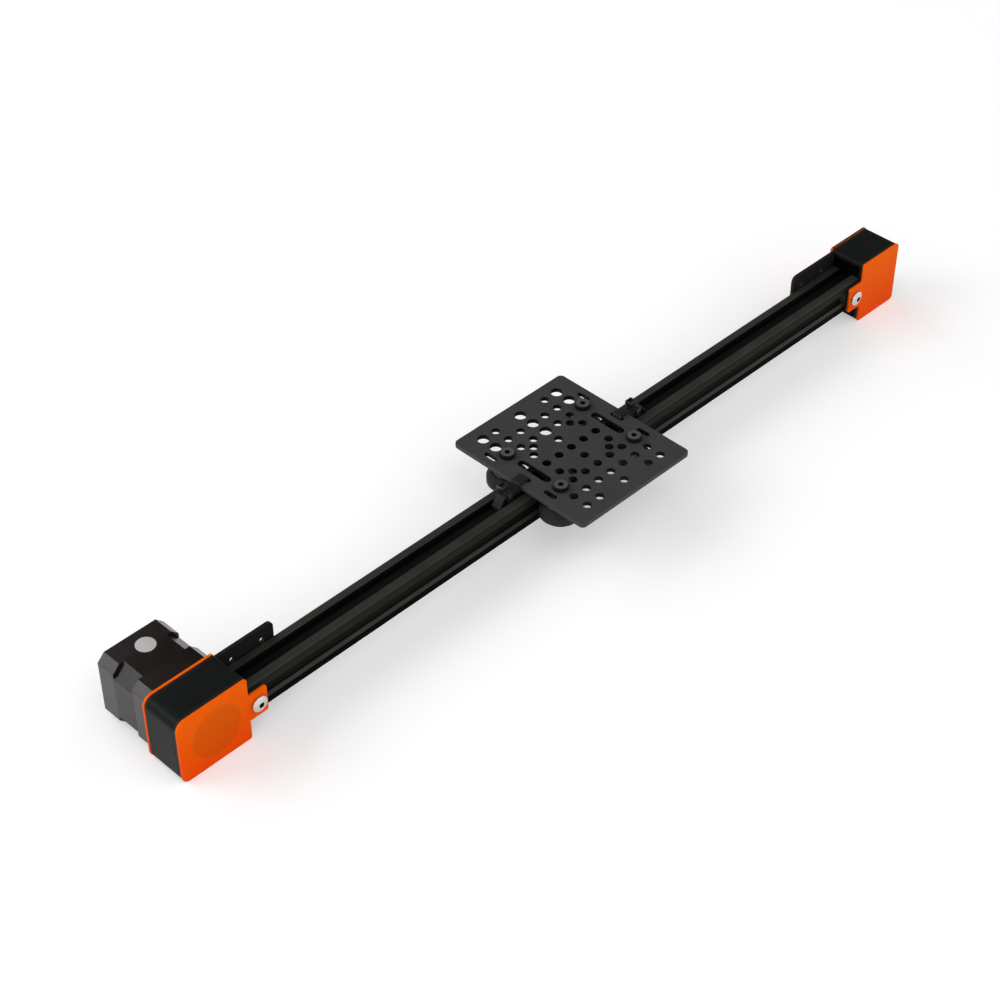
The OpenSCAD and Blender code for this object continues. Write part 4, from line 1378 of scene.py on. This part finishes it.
@dataclass
class Studio:
    """A white floor, a sky that is brightest low down and dark behind, soft lamps and the camera.

    The camera's angles are those of hung. The sky's steps are heights, as the sine of the
    elevation, with their levels.
    """

    eye: tuple[float, float, float] = (-0.7105, -0.64452, 0.81114)
    azimuth: float = 225.3907
    elevation: float = 41.0658
    roll: float = 0.0256
    lens: float = 79.78
    sensor: float = 36.0
    floor_size: float = 14.0
    floor_below: float = 0.02 * MM
    floor_colour: Rgb = (0.80, 0.80, 0.805)
    floor_lift: float = 0.28
    far_lift: float = 0.6
    far_span: tuple[float, float] = (1.0, 4.0)
    sky_steps: Sequence[tuple[float, float]] = ((0.0, 1.0), (0.26, 1.35), (0.42, 1.8), (0.54, 1.4),
                                               (0.68, 0.42), (1.0, 0.42))
    dark_way: tuple[float, float, float] = (0.534, 0.534, 0.656)
    dark_level: float = 0.05
    dark_reach: tuple[float, float] = (0.72, 0.94)
    lamps: Sequence[SoftLamp] = (SoftLamp("back_lamp", 0.0, 35.0, 6.3),
                                 SoftLamp("side_lamp", 310.0, 34.0, 13.0),
                                 SoftLamp("front_lamp", 185.0, 60.0, 5.0))

    def build(self) -> None:
        """Builds everything that isn't part of the object."""
        self.floor()
        self.world()
        for lamp in self.lamps:
            lamp.hang()
        self.camera()
        bpy.context.scene.view_settings.view_transform = "Standard"

    def floor(self) -> None:
        """Builds the floor, which looks white where it has no shadow."""
        bm = bmesh.new()
        bmesh.ops.create_grid(bm, x_segments=1, y_segments=1, size=self.floor_size / 2)
        bmesh.ops.translate(bm, vec=(0, 0, CAD_BOX[0].z - self.floor_below), verts=bm.verts)
        mesh = bpy.data.meshes.new("studio_floor")
        bm.to_mesh(mesh)
        bm.free()
        mesh.materials.append(self.floor_material())
        add_object("studio_floor", mesh)

    def floor_material(self) -> bpy.types.Material:
        """Returns the floor's material: matt, and lifted to white where it is looked at or mirrored."""
        material = bpy.data.materials.new("studio_floor")
        bench = cleared(material)
        place = bench.add("ShaderNodeTexCoord").outputs["Object"]
        marks = bench.shared(soft_marks(), Vector=place, Scale=2.0)
        colour = bench.mix(marks, rgba(self.floor_colour), rgba(self.floor_colour, 1.01))
        matt = bench.add("ShaderNodeBsdfDiffuse", {"Color": colour})
        ray = bench.add("ShaderNodeLightPath").outputs
        mirrored_ray = bench.math("MAXIMUM", ray["Is Glossy Ray"], ray["Is Transmission Ray"])
        seen = bench.math("MAXIMUM", ray["Is Camera Ray"], mirrored_ray)
        away = bench.vectors("LENGTH", place)["Value"]
        strength = bench.spread(away, self.floor_lift, self.far_lift, *self.far_span)
        lift = bench.add("ShaderNodeEmission", {"Color": WHITE,
                                                "Strength": bench.math("MULTIPLY", seen, strength)})
        whole = bench.add("ShaderNodeAddShader", {0: matt.outputs[0], 1: lift.outputs[0]})
        bench.add("ShaderNodeOutputMaterial", {"Surface": whole.outputs[0]})
        return material

    def world(self) -> None:
        """Builds the sky: white at the floor's edge, brightest above it and dim overhead."""
        world = bpy.data.worlds.new("studio_sky")
        bench = cleared(world)
        way = bench.add("ShaderNodeTexCoord").outputs["Generated"]
        height = bench.axes(way)[2]
        strength: object = self.sky_steps[0][1]
        for (start, _), (end, level) in zip(self.sky_steps, self.sky_steps[1:]):
            strength = bench.spread(height, strength, level, start, end)
        near = bench.vectors("DOT_PRODUCT", way, self.dark_way)["Value"]
        shade = bench.spread(near, 1.0, self.dark_level, *self.dark_reach)
        sky = bench.add("ShaderNodeBackground", {"Color": WHITE,
                                                 "Strength": bench.math("MULTIPLY", strength, shade)})
        bench.add("ShaderNodeOutputWorld", {"Surface": sky.outputs[0]})
        bpy.context.scene.world = world

    def camera(self) -> None:
        """Adds the camera."""
        data = bpy.data.cameras.new("camera")
        data.lens = self.lens
        data.sensor_width = self.sensor
        data.clip_start = 0.01
        data.clip_end = 50.0
        camera = hung("camera", data, self.azimuth, self.elevation)
        camera.location = self.eye
        camera.rotation_quaternion @= Matrix.Rotation(math.radians(self.roll), 3, "Z").to_quaternion()
        bpy.context.scene.camera = camera


def main() -> None:
    """Builds the dressed axis and its studio."""
    logging.basicConfig(level=logging.INFO, format="%(name)s: %(message)s")
    low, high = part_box("motor_rear_cap")
    # The motor end's front plate gets a dish with painted shade in it.
    look = asdict(ORANGE_COAT) | {"name": "orange_dished_coat"}
    dished = DishedFinish(**look, centre=((low.x + high.x) / 2, 0.0))
    belt = ToothedBelt()
    Studio().build()
    Rail().build()
    EndHousing("motor_end", dished).build()
    EndHousing("idler_end", rim_shade_coat=SHADED_COAT).build()
    Motor().build()
    Drive().build()
    belt.build()
    Carriage().build()
    BeltEnds(belt).build()


if __name__ == "__main__":
    main()
